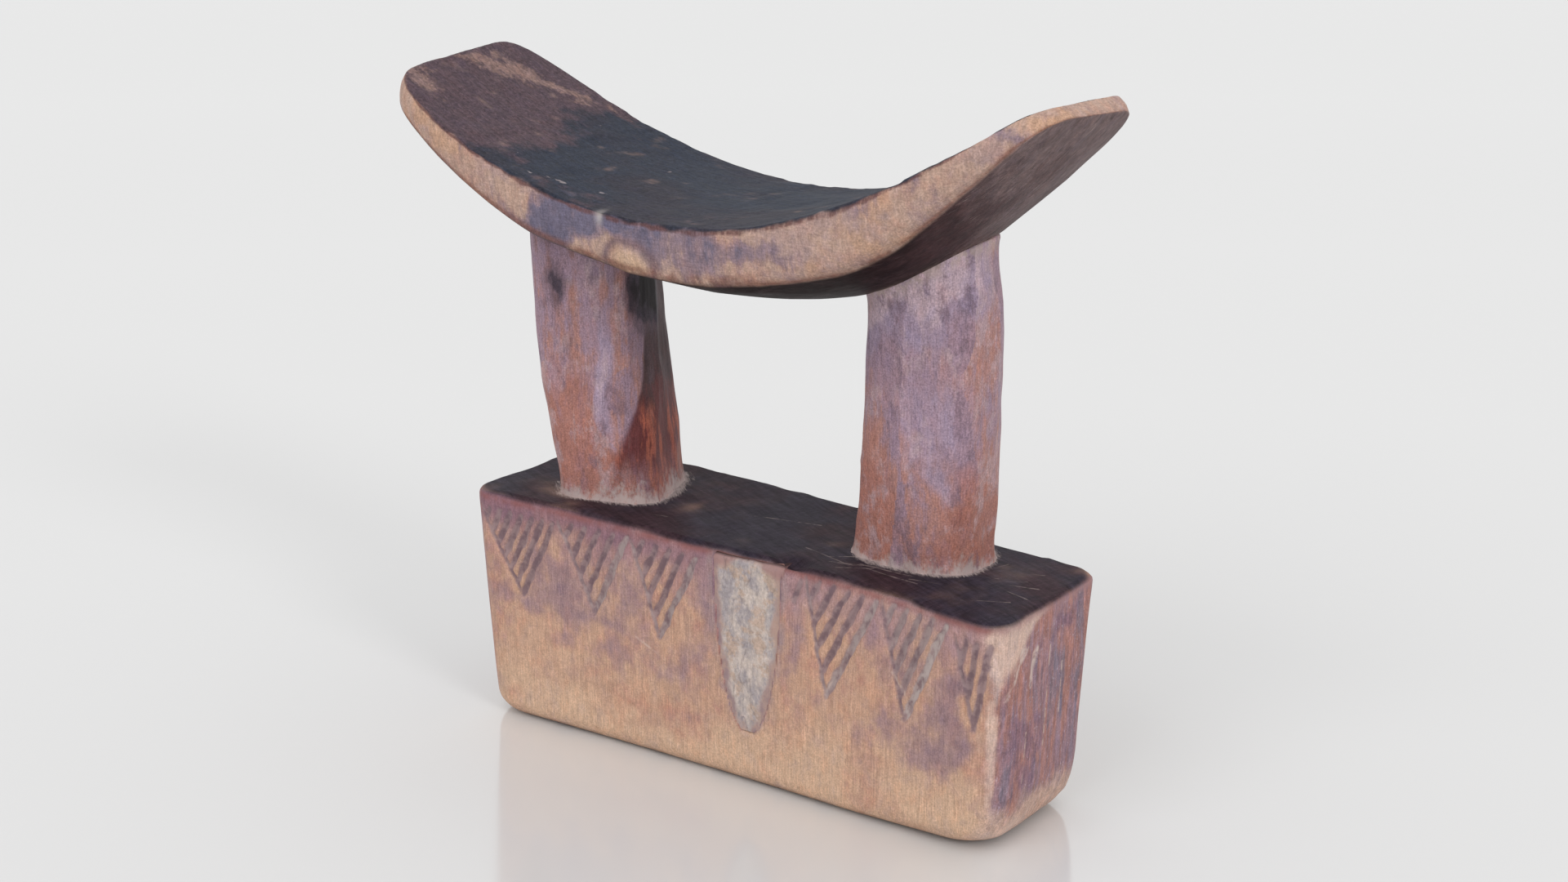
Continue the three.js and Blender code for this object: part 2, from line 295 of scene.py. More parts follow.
def make_piece(name, skin, masks, material, nodes):
    """Turns a skin into a Blender piece that stands for CAD nodes, with its masks as attributes."""
    mesh = bpy.data.meshes.new(name)
    mesh.from_pydata((skin.points * MM).tolist(), [], skin.quads.tolist())
    for mask, values in masks.items():
        attribute = mesh.attributes.new(mask, "FLOAT", "POINT")
        attribute.data.foreach_set("value", np.asarray(values, dtype=np.float32))
    mesh.shade_smooth()
    mesh.materials.append(material)
    piece = bpy.data.objects.new(name, mesh)
    bpy.context.scene.collection.objects.link(piece)
    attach(piece, "root")
    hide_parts(*nodes)
    return piece


def beyond_post(points, post, end="foot"):
    """How far outside a post's foot or head each place is, measured in plan."""
    level = {"foot": 0, "head": -1}[end]
    offset = points[:, :2] - np.array(post[end])
    cos, sin = math.cos(post["turn"]), math.sin(post["turn"])
    across = np.abs(cos * offset[:, 0] + sin * offset[:, 1]) / post["half_width"][level]
    deep = np.abs(cos * offset[:, 1] - sin * offset[:, 0]) / post["half_depth"][level]
    share = (across ** post["squareness"] + deep ** post["squareness"]) ** (1 / post["squareness"])
    return np.hypot(*offset.T) * (1 - 1 / np.maximum(share, 0.01))


# ---- The foot ----


def foot_top(x):
    return FOOT["height"] - FOOT["fall"] * x


def curl(height, side):
    """How far a face has curled under at a height."""
    up = np.clip(height / FOOT["round_rise"][side], 0, 1)
    return FOOT["round_reach"][side] * (1 - np.sqrt(1 - (1 - up) ** 2))


def front_face(x, share):
    """Where the front face lies at a place along the foot, at a share of its height."""
    sideways = x / FOOT["right"]
    worn = bell(x, FOOT["chip_at"], FOOT["chip_reach"])
    bowed = FOOT["hollow"] * (1 - sideways**2) * mix(0.5, 1, share)
    leaned = FOOT["lean"]["front"] * (1 - share)
    return FOOT["front"] + bowed + FOOT["skew"] * sideways + leaned + FOOT["chip_depth"] * share**4 * worn


def back_face(x):
    return FOOT["swell"] * (1 - (x / FOOT["right"]) ** 2)


def fill_half_width(z):
    up = np.clip((z - FILL["low"]) / (FOOT["height"] - FILL["low"]), 0, 1)
    return mix(FILL["tip"], FILL["half_width"], (1 - (1 - up) ** 2.2) ** 0.6)


def pocket(x, z):
    """The recess behind the clay, 1 inside it and 0 outside, with a steep soft wall."""
    edge = np.abs(x - FILL["centre"]) - fill_half_width(z)
    below = foot_top(x) - z
    inside = 1 - smooth(-0.9, 0.1, edge)
    return inside * smooth(FILL["low"] - 0.3, FILL["low"] + 0.6, z) * smooth(0.9, 1.7, below)


NICK_X = -25.3  # a pale nick in the front's bottom edge

FOOT_LONG, FOOT_SHORT = 300, 44
FOOT_ARC = 8  # steps in half of a corner's arc


def foot_rings(shares, insets):
    """The foot's outlines at shares of its height, each pulled in by the edge rounding."""
    share, inset = shares[:, None], insets[:, None]
    height = share * FOOT["height"]
    side = {s: inset + FOOT["lean"][s] * (1 - share) + curl(height, s) for s in ("left", "right", "back")}
    left, right = FOOT["left"] + side["left"], FOOT["right"] - side["right"]
    radius = mix(FOOT["low_corner_radius"], FOOT["corner_radius"], share**0.5)

    def front_at(x):
        recess = FILL["depth"] * pocket(x, share * foot_top(x)) * smooth(0.05, 0.12, share)
        return front_face(x, share) + inset + curl(height, "front") + recess

    def back_at(x):
        return FOOT["back"] - side["back"] + back_face(x)

    def arc(x, y, start, stop):
        angle = np.linspace(start, stop, FOOT_ARC + 1)[None, :-1] * math.pi / 4
        return x + radius * np.cos(angle), y + radius * np.sin(angle)

    low_x, high_x = left + radius, right - radius
    front_left, front_right = front_at(low_x) + radius, front_at(high_x) + radius
    back_left, back_right = back_at(low_x) - radius, back_at(high_x) - radius
    long_share = np.linspace(0, 1, FOOT_LONG - 2 * FOOT_ARC + 1)[None, :-1]
    short_share = np.linspace(0, 1, FOOT_SHORT - 2 * FOOT_ARC + 1)[None, :-1]
    along, return_along = mix(low_x, high_x, long_share), mix(high_x, low_x, long_share)
    upright = np.ones_like(short_share)
    stretches = [
        arc(low_x, front_left, 5, 6),
        (along, front_at(along)),
        arc(high_x, front_right, 6, 7),
        arc(high_x, front_right, 7, 8),
        (right * upright, mix(front_right, back_right, short_share)),
        arc(high_x, back_right, 0, 1),
        arc(high_x, back_right, 1, 2),
        (return_along, back_at(return_along)),
        arc(low_x, back_left, 2, 3),
        arc(low_x, back_left, 3, 4),
        (left * upright, mix(back_left, front_left, short_share)),
        arc(low_x, front_left, 4, 5),
    ]
    x, y = (np.hstack(places) for places in zip(*stretches))
    return np.stack([x, y, share * foot_top(x)], axis=-1)


def strokes():
    """Every groove of the front as (start, end, sizes, residue): pale residue lies in some."""
    found = []
    for number, (left, point, right, count) in enumerate(TRIANGLES):
        left, point, right = np.array(left), np.array(point), np.array(right)
        found.append((left, point, SIDE_GROOVE, 0.5 * (number in (1, 2, 3))))
        for stroke in range(1, count + 1):
            share = stroke / count
            top = mix(left, right, share) - np.array([0, STROKE_DROP])
            pale = 1.0 * (stroke == count and number in (1, 2, 3, 4)) + 0.6 * (number == 4)
            found.append((top, mix(left, point, share), STROKE_GROOVE, pale))
    found.append((np.array(LONE_STROKE[0]), np.array(LONE_STROKE[1]), STROKE_GROOVE, 0.0))
    return found


def carve(points):
    """Depth of the grooves below the front, and how much pale residue lies in them."""
    x, z = points[:, 0], points[:, 2]
    wobble = 0.3 * noise(points, 3.0, 51, 2)
    width_noise = 1 + 0.22 * noise(points, 2.2, 53, 2)
    depth, residue = np.zeros(len(points)), np.zeros(len(points))
    for start, end, sizes, pale in strokes():
        run = end - start
        length = np.hypot(*run)
        along = ((x - start[0]) * run[0] + (z - start[1]) * run[1]) / length
        across = np.abs(((x - start[0]) * run[1] - (z - start[1]) * run[0]) / length + wobble)
        beyond = np.maximum(np.maximum(-along, along - length), 0)
        away = np.hypot(across, beyond) / (sizes["width"] / 2 * width_noise)
        taper = mix(0.6, 1, smooth(-0.5, 3.5, np.minimum(along, length - along)))
        cut = sizes["depth"] * taper * (1 - smooth(0.1, 1.35, away))
        residue = np.where(cut > depth, pale, residue)
        depth = np.maximum(depth, cut)
    return depth, residue


FRONT_STAINS = [
    ((-62, -21, 34), (12, 9, 4.5), 0.75),
    ((-47, -21, 40), (10, 9, 6), 0.75),
    ((-38, -21, 33), (13, 9, 5), 0.8),
    ((-28, -21, 40), (5, 9, 5), 0.6),
    ((-50, -21, 24), (14, 9, 3), 0.35),
    ((-14, -20, 26), (12, 9, 8), 0.75),
    ((-62, -21, 48), (14, 9, 7), 0.5),
    ((-24, -21, 48), (24, 9, 7), 0.5),
    ((-4.5, -20, 44), (3.5, 9, 14), 0.8),
    ((-30, -20, 22), (9, 9, 4), 0.3),
    ((18, -19, 42), (3.5, 9, 15), 0.75),
    ((32, -19, 46), (8, 9, 8), 0.35),
    ((51, -19, 46), (8, 9, 9), 0.65),
    ((42, -18, 27), (10, 9, 7), 0.6),
    ((30, -18, 20), (9, 9, 6), 0.3),
    ((60, -20, 28), (6.5, 9, 9), 0.9),
    ((62.6, -20, 42), (3.2, 9, 9), 1.0),
    ((54, -20, 22), (6, 9, 5), 0.6),
    ((70, -20, 12), (5, 6, 6), 0.3),
    ((-73, -20, 44), (4, 7, 9), 0.3),
    ((-78, 0, 30), (5, 25, 40), 0.5),
    ((0, 25, 30), (90, 8, 50), 0.55),
    ((76, -11, 31), (4, 5, 9), 1.1),
    ((76, -8, 14), (4, 4, 8), 0.8),
    ((77, -2, 32), (4, 4, 22), 0.8),
    ((77, 12, 30), (4, 3, 30), 0.6),
    ((76, -3, 14), (4, 4, 14), 0.6),
    ((77, 4, 51), (4, 12, 4), 0.9),
]

FRONT_WEAR = [
    ((73.0, -18.2, 26), (1.3, 1.9, 28), 1.15),
    ((73.5, -17, 50), (4, 4.5, 6.5), 1.3),
    ((75, -12, 52), (3, 4, 4), 0.9),
    ((75, -8, 55), (3, 6, 2), 0.7),
    ((74, 6, 56), (3, 16, 1.6), 0.45),
    ((70, -10, 3), (10, 12, 4.5), 0.9),
    ((-40, -21, 2), (50, 5, 3), 0.4),
]


def make_foot(material):
    lower = np.concatenate([np.linspace(0, 0.04, 9)[:-1], np.linspace(0.04, 0.5, 36)[:-1]])
    upper = np.linspace(0.5, 1 - FOOT["top_round"] / FOOT["height"], 58)
    rounding = np.linspace(0, math.pi / 2, 6)[1:]
    round_shares = 1 - FOOT["top_round"] / FOOT["height"] * (1 - np.sin(rounding))
    shares = np.concatenate([lower, upper, round_shares])
    insets = np.concatenate([0 * lower, 0 * upper, FOOT["top_round"] * (1 - np.cos(rounding))])
    rings = foot_rings(shares, insets)
    skin = Skin(rings, FOOT_LONG, FOOT_SHORT, lambda x, y: 0 * x, lambda x, y: foot_top(x))
    points, normals = skin.points, skin.normals()
    x, y, z = points.T
    up = smooth(0.55, 0.9, normals[:, 2])
    front = smooth(0.25, 0.6, -normals[:, 1])
    back = smooth(0.25, 0.6, normals[:, 1])
    end = smooth(0.35, 0.8, np.abs(normals[:, 0]))
    standing = smooth(0.2, 2.5, z)
    depth, residue = carve(points)
    depth = depth * smooth(0.1, 0.4, -normals[:, 1])
    below_top = foot_top(x) - z
    near_edge = smooth(3.5, 0.3, below_top) * (1 - smooth(0.95, 1.0, normals[:, 2]))
    from_posts = np.minimum(beyond_post(points, LEFT_POST), beyond_post(points, RIGHT_POST))
    dust = from_posts + 0.9 * noise(points, (7, 7, 7), 99, 2)
    behind_fill = pocket(x, z) * smooth(0.0, 0.4, y - front_face(x, z / foot_top(x)) - 0.6) * front

    relief = 0.35 * noise(points, (26, 26, 34), 1, 2) * (1 - 0.6 * front)
    relief += 0.7 * scoops(points, (9, 8.5, 40), 5) * (end + back)
    relief += 0.2 * scoops(points, (13, 13, 22), 9) * front
    relief += 0.4 * scoops(points, (20, 12, 20), 13) * up
    relief += 0.04 * noise(points, (0.9, 0.9, 9), 17, 2) * (1 - up)
    relief -= 0.35 * near_edge * (0.5 + noise(points, (14, 14, 14), 21, 3))
    relief -= spots(points, [((18.0, -16.5, 58.5), (3.6, 3.0, 2.4), 1.9)])
    relief -= spots(points, [((NICK_X, -20, 3.5), (0.9, 2.0, 4.6), 0.5)])
    relief -= spots(points, [((75, -11.0, 45), (4, 2.0, 5.0), 0.6), ((76, -5.2, 43), (3, 0.9, 4), 0.6)])
    skin.raise_by(relief * standing - depth)
    cornered = smooth(28, FOOT["right"], x) * smooth(0, FOOT["front"], y) * smooth(14, 0, z)
    skin.points[:, 2] += FOOT["worn_corner"] * cornered

    warped = ragged(points, (9, 9, 9), 5.0, 81)
    from_fill = np.abs(x - FILL["centre"]) - fill_half_width(z) + 0.9 * noise(points, 3.5, 91, 3)
    beside_fill = smooth(2.6, 0.2, from_fill) * smooth(FILL["low"] - 4, FILL["low"] + 1, z) * front
    masks = {
        "top": 1 - smooth(0.1, 1.3, below_top + 0.45 * noise(points, (12, 12, 12), 95, 3)),
        "dust": bell(np.maximum(dust, 0), 0, mix(2.2, 1.7, smooth(-20, 20, x))),
        "rim": bell(below_top, 1.3, 1.1) * (1 - up),
        "band": smooth(15, 3.0, below_top + 1.6 * noise(points, (9, 9, 5), 97, 3)) * front,
        "end": end,
        "cavity": np.clip(depth / STROKE_GROOVE["depth"], 0, 1),
        "residue": residue * smooth(0.2, 0.6, depth),
        "stain": spots(warped, FRONT_STAINS),
        "wear": spots(warped * 0.25 + points * 0.75, FRONT_WEAR),
        "pocket": behind_fill,
        "beside": beside_fill,
    }
    return make_piece("carved_base", skin, masks, material, ["base_block"])


# ---- The clay ----

FILL_LONG, FILL_SHORT = 76, 8


def make_fill(material):
    """The mend: a lumpy front inside the pocket's outline, all but flush with the wood."""
    levels = np.linspace(0, 1, 150) ** 1.15
    low, high = FILL["low"] + 0.2, foot_top(FILL["centre"]) - 0.9
    z = mix(low, high, levels)[:, None]
    half = fill_half_width(z) + 0.35
    across = np.linspace(-1, 1, FILL_LONG + 1)[None, :]
    x = FILL["centre"] + across[:, :-1] * half
    rounding = 0.9 * smooth(1.2, 0.0, high - z)
    face = front_face(x, z / foot_top(x)) + 0.02 + curl(z, "front") + rounding
    behind = FILL["depth"] + 0.5
    side_share = np.linspace(0, 1, FILL_SHORT + 1)[None, :-1]
    right_front = front_face(FILL["centre"] + half, z / foot_top(0)) + rounding
    left_front = front_face(FILL["centre"] - half, z / foot_top(0)) + rounding
    back_x = FILL["centre"] - across[:, :-1] * half
    back_y = front_face(back_x, z / foot_top(back_x)) + behind
    walls = [
        (x, face),
        (FILL["centre"] + half + 0 * side_share, mix(right_front, right_front + behind, side_share)),
        (back_x, back_y),
        (FILL["centre"] - half + 0 * side_share, mix(left_front + behind, left_front, side_share)),
    ]
    rings_x, rings_y = (np.hstack(places) for places in zip(*walls))
    rings = np.stack([rings_x, rings_y, z + 0 * rings_x], axis=-1)
    skin = Skin(rings, FILL_LONG, FILL_SHORT, lambda x, y: low + 0 * x, lambda x, y: high + 0 * x)
    points, normals = skin.points, skin.normals()
    front = smooth(0.2, 0.7, -normals[:, 1])
    inside = fill_half_width(points[:, 2]) - np.abs(points[:, 0] - FILL["centre"])
    lumps = 0.4 * noise(points, (5, 5, 7), 61, 4) * smooth(0, 2.5, inside)
    cracks = smooth(0.05, 0.0, np.abs(noise(points, (5, 5, 11), 67, 3))) * smooth(0.8, 2.5, inside)
    skin.raise_by((lumps - 0.2 * cracks) * front)
    masks = {
        "rim": 1 - smooth(-0.3, 3.6, inside + 1.5 * noise(points, (3.5, 3.5, 6), 91, 3)),
        "crack": cracks * front,
        "top": smooth(0.7, 0.1, high - points[:, 2]),
        "brow": smooth(4.5, 2.3, high - points[:, 2] + 0.9 * noise(points, 4.0, 93, 3) + 0.3 * inside),
    }
    return make_piece("grey_mend", skin, masks, material, ["clay_fill"])


# ---- The head platform ----


def by_end(pair, u):
    return np.where(u > 0, pair[1], pair[0])


def platform_top(u):
    rise, power = by_end(PLATFORM["rise"], u), by_end(PLATFORM["rise_power"], u)
    return PLATFORM["height"] + rise * (np.abs(u) / PLATFORM["rise_reach"]) ** power


def platform_underside(u, v):
    out = np.abs(u) / PLATFORM["rise_reach"]
    start, stop = (by_end(pair, u) for pair in PLATFORM["thinning"])
    thinned = smooth(start, stop, np.abs(u))
    thickness = mix(PLATFORM["thickness"], by_end(PLATFORM["tip_thickness"], u), thinned)
    across = np.clip(np.abs(v) / (PLATFORM["half_depth"] * PLATFORM["underside_depth"]), 0, 1)
    swell = (PLATFORM["belly"] + PLATFORM["belly_lean"] * u) * (1 - across**2)
    return platform_top(u) - thickness - swell * (1 - np.clip(out, 0, 1) ** 2.6)


PLATFORM_LONG, PLATFORM_SHORT = 330, 100


def superellipse(half_lengths, half_depth, squareness, long, short):
    """An outline as shares of its half sizes, evenly stepped between its four corners."""
    angle = np.linspace(-math.pi, math.pi, 40001)
    cosine, sine = np.cos(angle), np.sin(angle)
    power = 2 / by_end(squareness, cosine)
    p = np.sign(cosine) * np.abs(cosine) ** power
    q = np.sign(sine) * np.abs(sine) ** power
    x = p * by_end(half_lengths, cosine)
    run = np.concatenate([[0], np.cumsum(np.hypot(np.diff(x), np.diff(q * half_depth)))])
    corners = np.interp([-0.75 * math.pi, -0.25 * math.pi, 0.25 * math.pi, 0.75 * math.pi], angle, run)
    stops = np.concatenate([corners, [corners[0] + run[-1]]])
    steps = [long, short, long, short]
    places = [np.linspace(stops[i], stops[i + 1], steps[i] + 1)[:-1] for i in range(4)]
    places = np.concatenate(places) % run[-1]
    return np.interp(places, run, p), np.interp(places, run, q)


def platform_rings(downs, insets):
    half_lengths, half_depth = PLATFORM["half_length"], PLATFORM["half_depth"]
    p, q = superellipse(half_lengths, half_depth, PLATFORM["squareness"], PLATFORM_LONG, PLATFORM_SHORT)
    p, q, down, inset = p[None], q[None], downs[:, None], insets[:, None]
    taper = np.where(q > 0, by_end(PLATFORM["back_taper"], p), by_end(PLATFORM["front_taper"], p))
    skew = by_end(PLATFORM["end_skew"], p) * q * np.abs(p)
    u = p * (by_end(half_lengths, p) + skew + PLATFORM["end_lean"] * down - inset)
    v = q * (half_depth * mix(1, PLATFORM["underside_depth"], down) - inset) * (1 - taper * p**4)
    z = mix(platform_top(u), platform_underside(u, v), down)
    return np.stack([u + PLATFORM["centre"][0], v + PLATFORM["centre"][1], z], axis=-1)


# The painted shade of the underside begins at this v, which moves in from the rim between these u.
DARK_BORDER = {"v": (-28.9, -25.5), "u": (8.0, 52.0)}

TOP_BROWN = [
    ((-92, -6, 165), (22, 40, 26), 1.7),
    ((-76, -20, 156), (20, 12, 16), 0.9),
    ((-84, 16, 160), (18, 18, 16), 1.0),
    ((-64, -12, 148), (12, 14, 14), 0.6),
    ((-56, 28, 147), (30, 5, 14), 0.6),
    ((-20, -28, 140), (60, 4, 12), 0.5),
    ((82, 0, 166), (10, 30, 10), 0.6),
]

TOP_TAN = [
    ((-89, 6, 164), (7, 8, 8), 1.3),
    ((-84, 13, 159), (5, 6, 7), 1.1),
    ((-78, 18, 155), (5, 4, 7), 0.9),
    ((-68, 26, 151), (8, 3, 7), 0.6),
    ((-97, -16, 165), (4, 9, 8), 1.3),
    ((-88, -24, 159), (10, 5, 8), 1.2),
]

TOP_SPECKS = [
    (-49, -27.4),
    (-46, -25.5),
    (-43.5, -24.5),
    (-42, -24),
    (-58, -22),
    (-33, -20),
    (-36, 8),
    (-62, 14),
]

KNOT = {"x": -16.8, "z": 127.0, "reach": 5.2, "ring": 7.2}

EDGE_PURPLE = [
    ((-20, -31, 134.0), (6, 7, 3), 1.8),
    ((-28, -31, 135), (7, 7, 4), 1.1),
    ((-37, -31, 133), (9, 7, 6), 1.4),
    ((-10, -31, 131), (11, 7, 6), 1.0),
    ((8, -31, 132), (14, 7, 6), 0.95),
    ((24, -31, 132), (9, 7, 4), 0.55),
    ((-46, -31, 132), (12, 7, 5), 1.0),
    ((-58, -31, 141), (8, 7, 6), 0.4),
    ((46, -31, 146), (9, 7, 5), 0.55),
    ((62, -31, 156), (9, 7, 6), 0.45),
    ((67, -30, 159.3), (8, 7, 1.6), 0.45),
    ((75.5, -27, 162.6), (5.5, 7, 2.2), 1.2),
    ((0, 30, 135), (90, 6, 30), 0.6),
]

EDGE_WARM = [
    ((28, -31, 131), (20, 6, 3.5), 0.8),
    ((52, -31, 143), (14, 6, 4), 0.8),
    ((84, -18, 165), (6, 12, 4), 1.1),
    ((-80, -30, 152), (12, 6, 6), 1.1),
    ((-30, -31, 129), (12, 6, 3), 0.6),
]


def make_platform(material):
    turn = np.linspace(0, math.pi / 2, 7)
    low_round, top_round = 0.1, 0.09  # roundings as shares of the edge's thickness
    downs = np.concatenate(
        [
            1 - low_round * (1 - np.cos(turn)),
            np.linspace(1 - low_round, top_round, 22)[1:-1],
            top_round * (1 - np.sin(turn)),
        ]
    )
    bulge = 0.35 * np.sin(math.pi * np.linspace(0, 1, 22)[1:-1])
    insets = np.concatenate([1.3 * (1 - np.sin(turn)), -bulge, 1.1 * (1 - np.cos(turn))])
    rings = platform_rings(downs, insets)
    shift = PLATFORM["centre"]
    skin = Skin(
        rings,
        PLATFORM_LONG,
        PLATFORM_SHORT,
        lambda x, y: platform_underside(x - shift[0], y - shift[1]),
        lambda x, y: platform_top(x - shift[0]),
    )
    points = skin.points
    x, y, z = points.T
    u, v = x - shift[0], y - shift[1]
    span = platform_top(u) - platform_underside(u, np.sign(v) * PLATFORM["half_depth"])
    thinness = PLATFORM["thickness"] / np.clip(span, PLATFORM["tip_thickness"][1], PLATFORM["thickness"])
    from_top = (platform_top(u) - z) * thinness
    from_under = (z - platform_underside(u, v)) * thinness
    border = mix(*DARK_BORDER["v"], smooth(*DARK_BORDER["u"], u)) + 0.35 * noise(points, 9.0, 145, 3)
    to_dark = np.maximum(from_under - 1.0, border - v)
    top = 1 - smooth(0.3, 1.6, from_top)
    under = 1 - smooth(0.3, 1.6, from_under)
    side = 1 - np.clip(top + under, 0, 1)
    relief = 0.4 * noise(points, (30, 22, 40), 31, 2)
    relief += 0.25 * scoops(points, (22, 12, 30), 35) * top
    relief += 0.35 * scoops(points, (15, 9, 15), 37) * under
    relief += 0.42 * scoops(points, (13, 30, 30), 39) * side
    relief += 0.05 * noise(points, (3, 0.8, 3), 41, 2) * top
    relief += 0.05 * noise(points, (0.8, 0.8, 5), 43, 2) * side
    nibbled = np.clip(noise(points * np.array([1, 0.3, 0.3]), 4.5, 45, 3), 0, 1)
    relief -= 0.3 * nibbled * bell(from_top, 0.4, 1.2)
    relief -= spots(points, [((-24.6, -32, 137.0), (1.2, 2.0, 1.8), 0.7)])
    relief += spots(points, [((KNOT["x"], -31.5, KNOT["z"] + 0.5), (5.4, 3.0, 3.4), 0.9)])
    skin.raise_by(relief - 0.25)
    warped = ragged(points, (10, 10, 10), 6.0, 141)
    from_knot = np.hypot(x - KNOT["x"], (z - KNOT["z"]) * 1.5) + 0.6 * noise(points, 4.0, 47)
    specks = [((*speck, platform_top(speck[0] - shift[0])), (0.9, 0.7, 2.0), 1.0) for speck in TOP_SPECKS]
    masks = {
        "top": 1 - smooth(0.25, 1.3, from_top + 0.5 * noise(points, 4.0, 143, 4)),
        # where the underside's painted shade lies
        "under": 1 - smooth(-0.8, 0.9, to_dark),
        "join": np.exp(-(np.maximum(beyond_post(points, RIGHT_POST, "head"), 0) / 1.5)) * under,
        "rim": bell(from_top + 0.4 * noise(points, 3.0, 147, 3), 1.0, 0.8) * mix(1, 0.3, smooth(66, 80, x)),
        "low_rim": bell(to_dark, 0.7, 0.8),
        "brown": spots(warped, TOP_BROWN),
        "tan": spots(warped, TOP_TAN),
        "purple": spots(warped, EDGE_PURPLE),
        "warm": spots(warped, EDGE_WARM),
        "knot": np.exp(-((from_knot / KNOT["reach"]) ** 4)) * (y < 0),
        "knot_ring": bell(from_knot, KNOT["ring"], 1.5) * (y < 0),
        "specks": spots(ragged(points, 1.5, 1.0, 151), specks) * top,
        "chip": spots(points, [((-24.8, -32, 136.8), (1.0, 2.5, 2.0), 1.0)]),
        "tip": smooth(25, 88, x + 10 * noise(points, (14, 14, 14), 149, 3)),
    }
    return make_piece("carved_headrest", skin, masks, material, ["head_platform"])


# ---- The posts ----

POST_SIDE = 56
POST_SINK = 1.2  # a post runs this far into its neighbours, so that the joins look grown
FOOT_FLARE = {"reach": 0.7, "rise": 2.6}
HEAD_FLARE = {"reach": 0.9, "rise": 2.0}
POST_FACET = (11.0, 11.0, 42.0)  # the size of the adze's facets
# The left post's right flank is painted dark from a ridge backwards, partly red stain and partly shade
# inside the arch, and the ridge leans back as it rises.
RIDGE = {"x": -46.0, "y": (-10.8, -1.6), "z": (66.0, 112.0)}


def post_low(x):
    return foot_top(x) - POST_SINK


def post_high(x, y):
    return platform_underside(x - PLATFORM["centre"][0], y - PLATFORM["centre"][1]) + POST_SINK


def post_rings(post, shares):
    share = shares[:, None]
    middle = 4 * share * (1 - share)
    low_mid_high = {key: post[key] for key in ("half_width", "half_depth")}
    half = {}
    for key, (low, mid, high) in low_mid_high.items():
        half[key] = mix(low, high, share) + (mid - (low + high) / 2) * middle
    width, depth = post["half_width"][1], post["half_depth"][1]
    squareness = (post["squareness"], post["squareness"])
    p, q = superellipse((width, width), depth, squareness, POST_SIDE, POST_SIDE)
    p, q = p[None], q[None]
    centre_x = mix(post["foot"][0], post["head"][0], share) + post["bow"][0] * middle
    centre_y = mix(post["foot"][1], post["head"][1], share) + post["bow"][1] * middle
    a, b = p * half["half_width"], q * half["half_depth"]
    c, s = math.cos(post["turn"]), math.sin(post["turn"])
    x = centre_x + a * c - b * s
    y = centre_y + a * s + b * c
    return np.stack([x, y, mix(post_low(x), post_high(x, y), share)], axis=-1)


def make_post(name, node, post, seed, places, material):
    """A post. places has soft spots for each of the masks dark, red and light."""
    shares = np.linspace(0, 1, 230)
    rings = post_rings(post, shares)
    skin = Skin(rings, POST_SIDE, POST_SIDE, lambda x, y: post_low(x), post_high)
    points, normals = skin.points, skin.normals()
    x, y, z = points.T
    above = z - foot_top(x)
    below = post_high(x, y) - POST_SINK - z
    wall = smooth(0.9, 0.5, np.abs(normals[:, 2]))
    frayed = 1 + 0.8 * noise(points, (4.0, 4.0, 30), seed + 1, 3)
    flare = FOOT_FLARE["reach"] * np.exp(-np.maximum(above, 0) / FOOT_FLARE["rise"]) * frayed
    flare += HEAD_FLARE["reach"] * np.exp(-np.maximum(below, 0) / HEAD_FLARE["rise"])
    bent = points + 1.2 * noise(points, (6, 6, 12), seed + 3, 3)[:, None]
    facet_depth, facet_tone = gouges(bent, POST_FACET, seed + 5)
    relief = 2.0 * facet_depth + 0.35 * noise(points, (9, 9, 16), seed + 9, 2)
    relief += 0.05 * noise(points, (0.8, 0.8, 7), seed + 13, 2)
    fibres = 0.25 * noise(points, (0.8, 0.8, 2.5), seed + 17, 2)
    fibres = fibres * np.exp(-np.maximum(above, 0) / 2.0)
    skin.raise_by((flare + relief + fibres - 0.6) * wall)
    warped = ragged(points, (8, 8, 14), 4.0, seed + 21)
    reach = 2.7 * np.clip(1 + 1.2 * noise(points, (6, 6, 30), seed + 25, 3), 0.2, 3)
    masks = {key: spots(warped, places[key]) for key in ("dark", "red", "light")}
    masks["facet"] = facet_tone
    ridge = mix(*RIDGE["y"], smooth(*RIDGE["z"], z)) + 0.8 * noise(points, (4, 4, 10), seed + 31, 2)
    masks["shaded"] = smooth(-0.5, 0.9, y - ridge) * (x > RIDGE["x"]) * (x < 0)
    masks["shaded"] *= mix(0.45, 1, smooth(64, 75, z + 3 * noise(points, (4, 4, 9), seed + 35, 3)))
    masks["scuff"] = bell(np.maximum(above, 0), 0, reach)
    masks["join"] = bell(below, 0, 2.2)
    masks["height"] = np.clip(above / 70, 0, 1)
    return make_piece(name, skin, masks, material, [node])


# ---- Materials ----


class Value:
    """A number in a material. Sums and products of it make the nodes that work them out."""

    def __init__(self, tree, socket):
        self.tree, self.socket = tree, socket

    def __add__(self, other):
        return self.tree.math("ADD", self, other)

    def __mul__(self, other):
        return self.tree.math("MULTIPLY", self, other)

    def __sub__(self, other):
        return self + -1 * other

    def __rsub__(self, other):
        return -1 * self + other

    __radd__, __rmul__ = __add__, __mul__

    def step(self, low, high, to=1.0):
        """0 below low and `to` above high, with an S-curve between. low may be above high."""
        inputs = {"Value": self, "From Min": low, "From Max": high, "To Min": 0.0, "To Max": to}
        if low > high:
            inputs.update({"From Min": high, "From Max": low, "To Min": to, "To Max": 0.0})
        made = self.tree.node("ShaderNodeMapRange", inputs, interpolation_type="SMOOTHSTEP")
        return Value(self.tree, made.outputs[0])


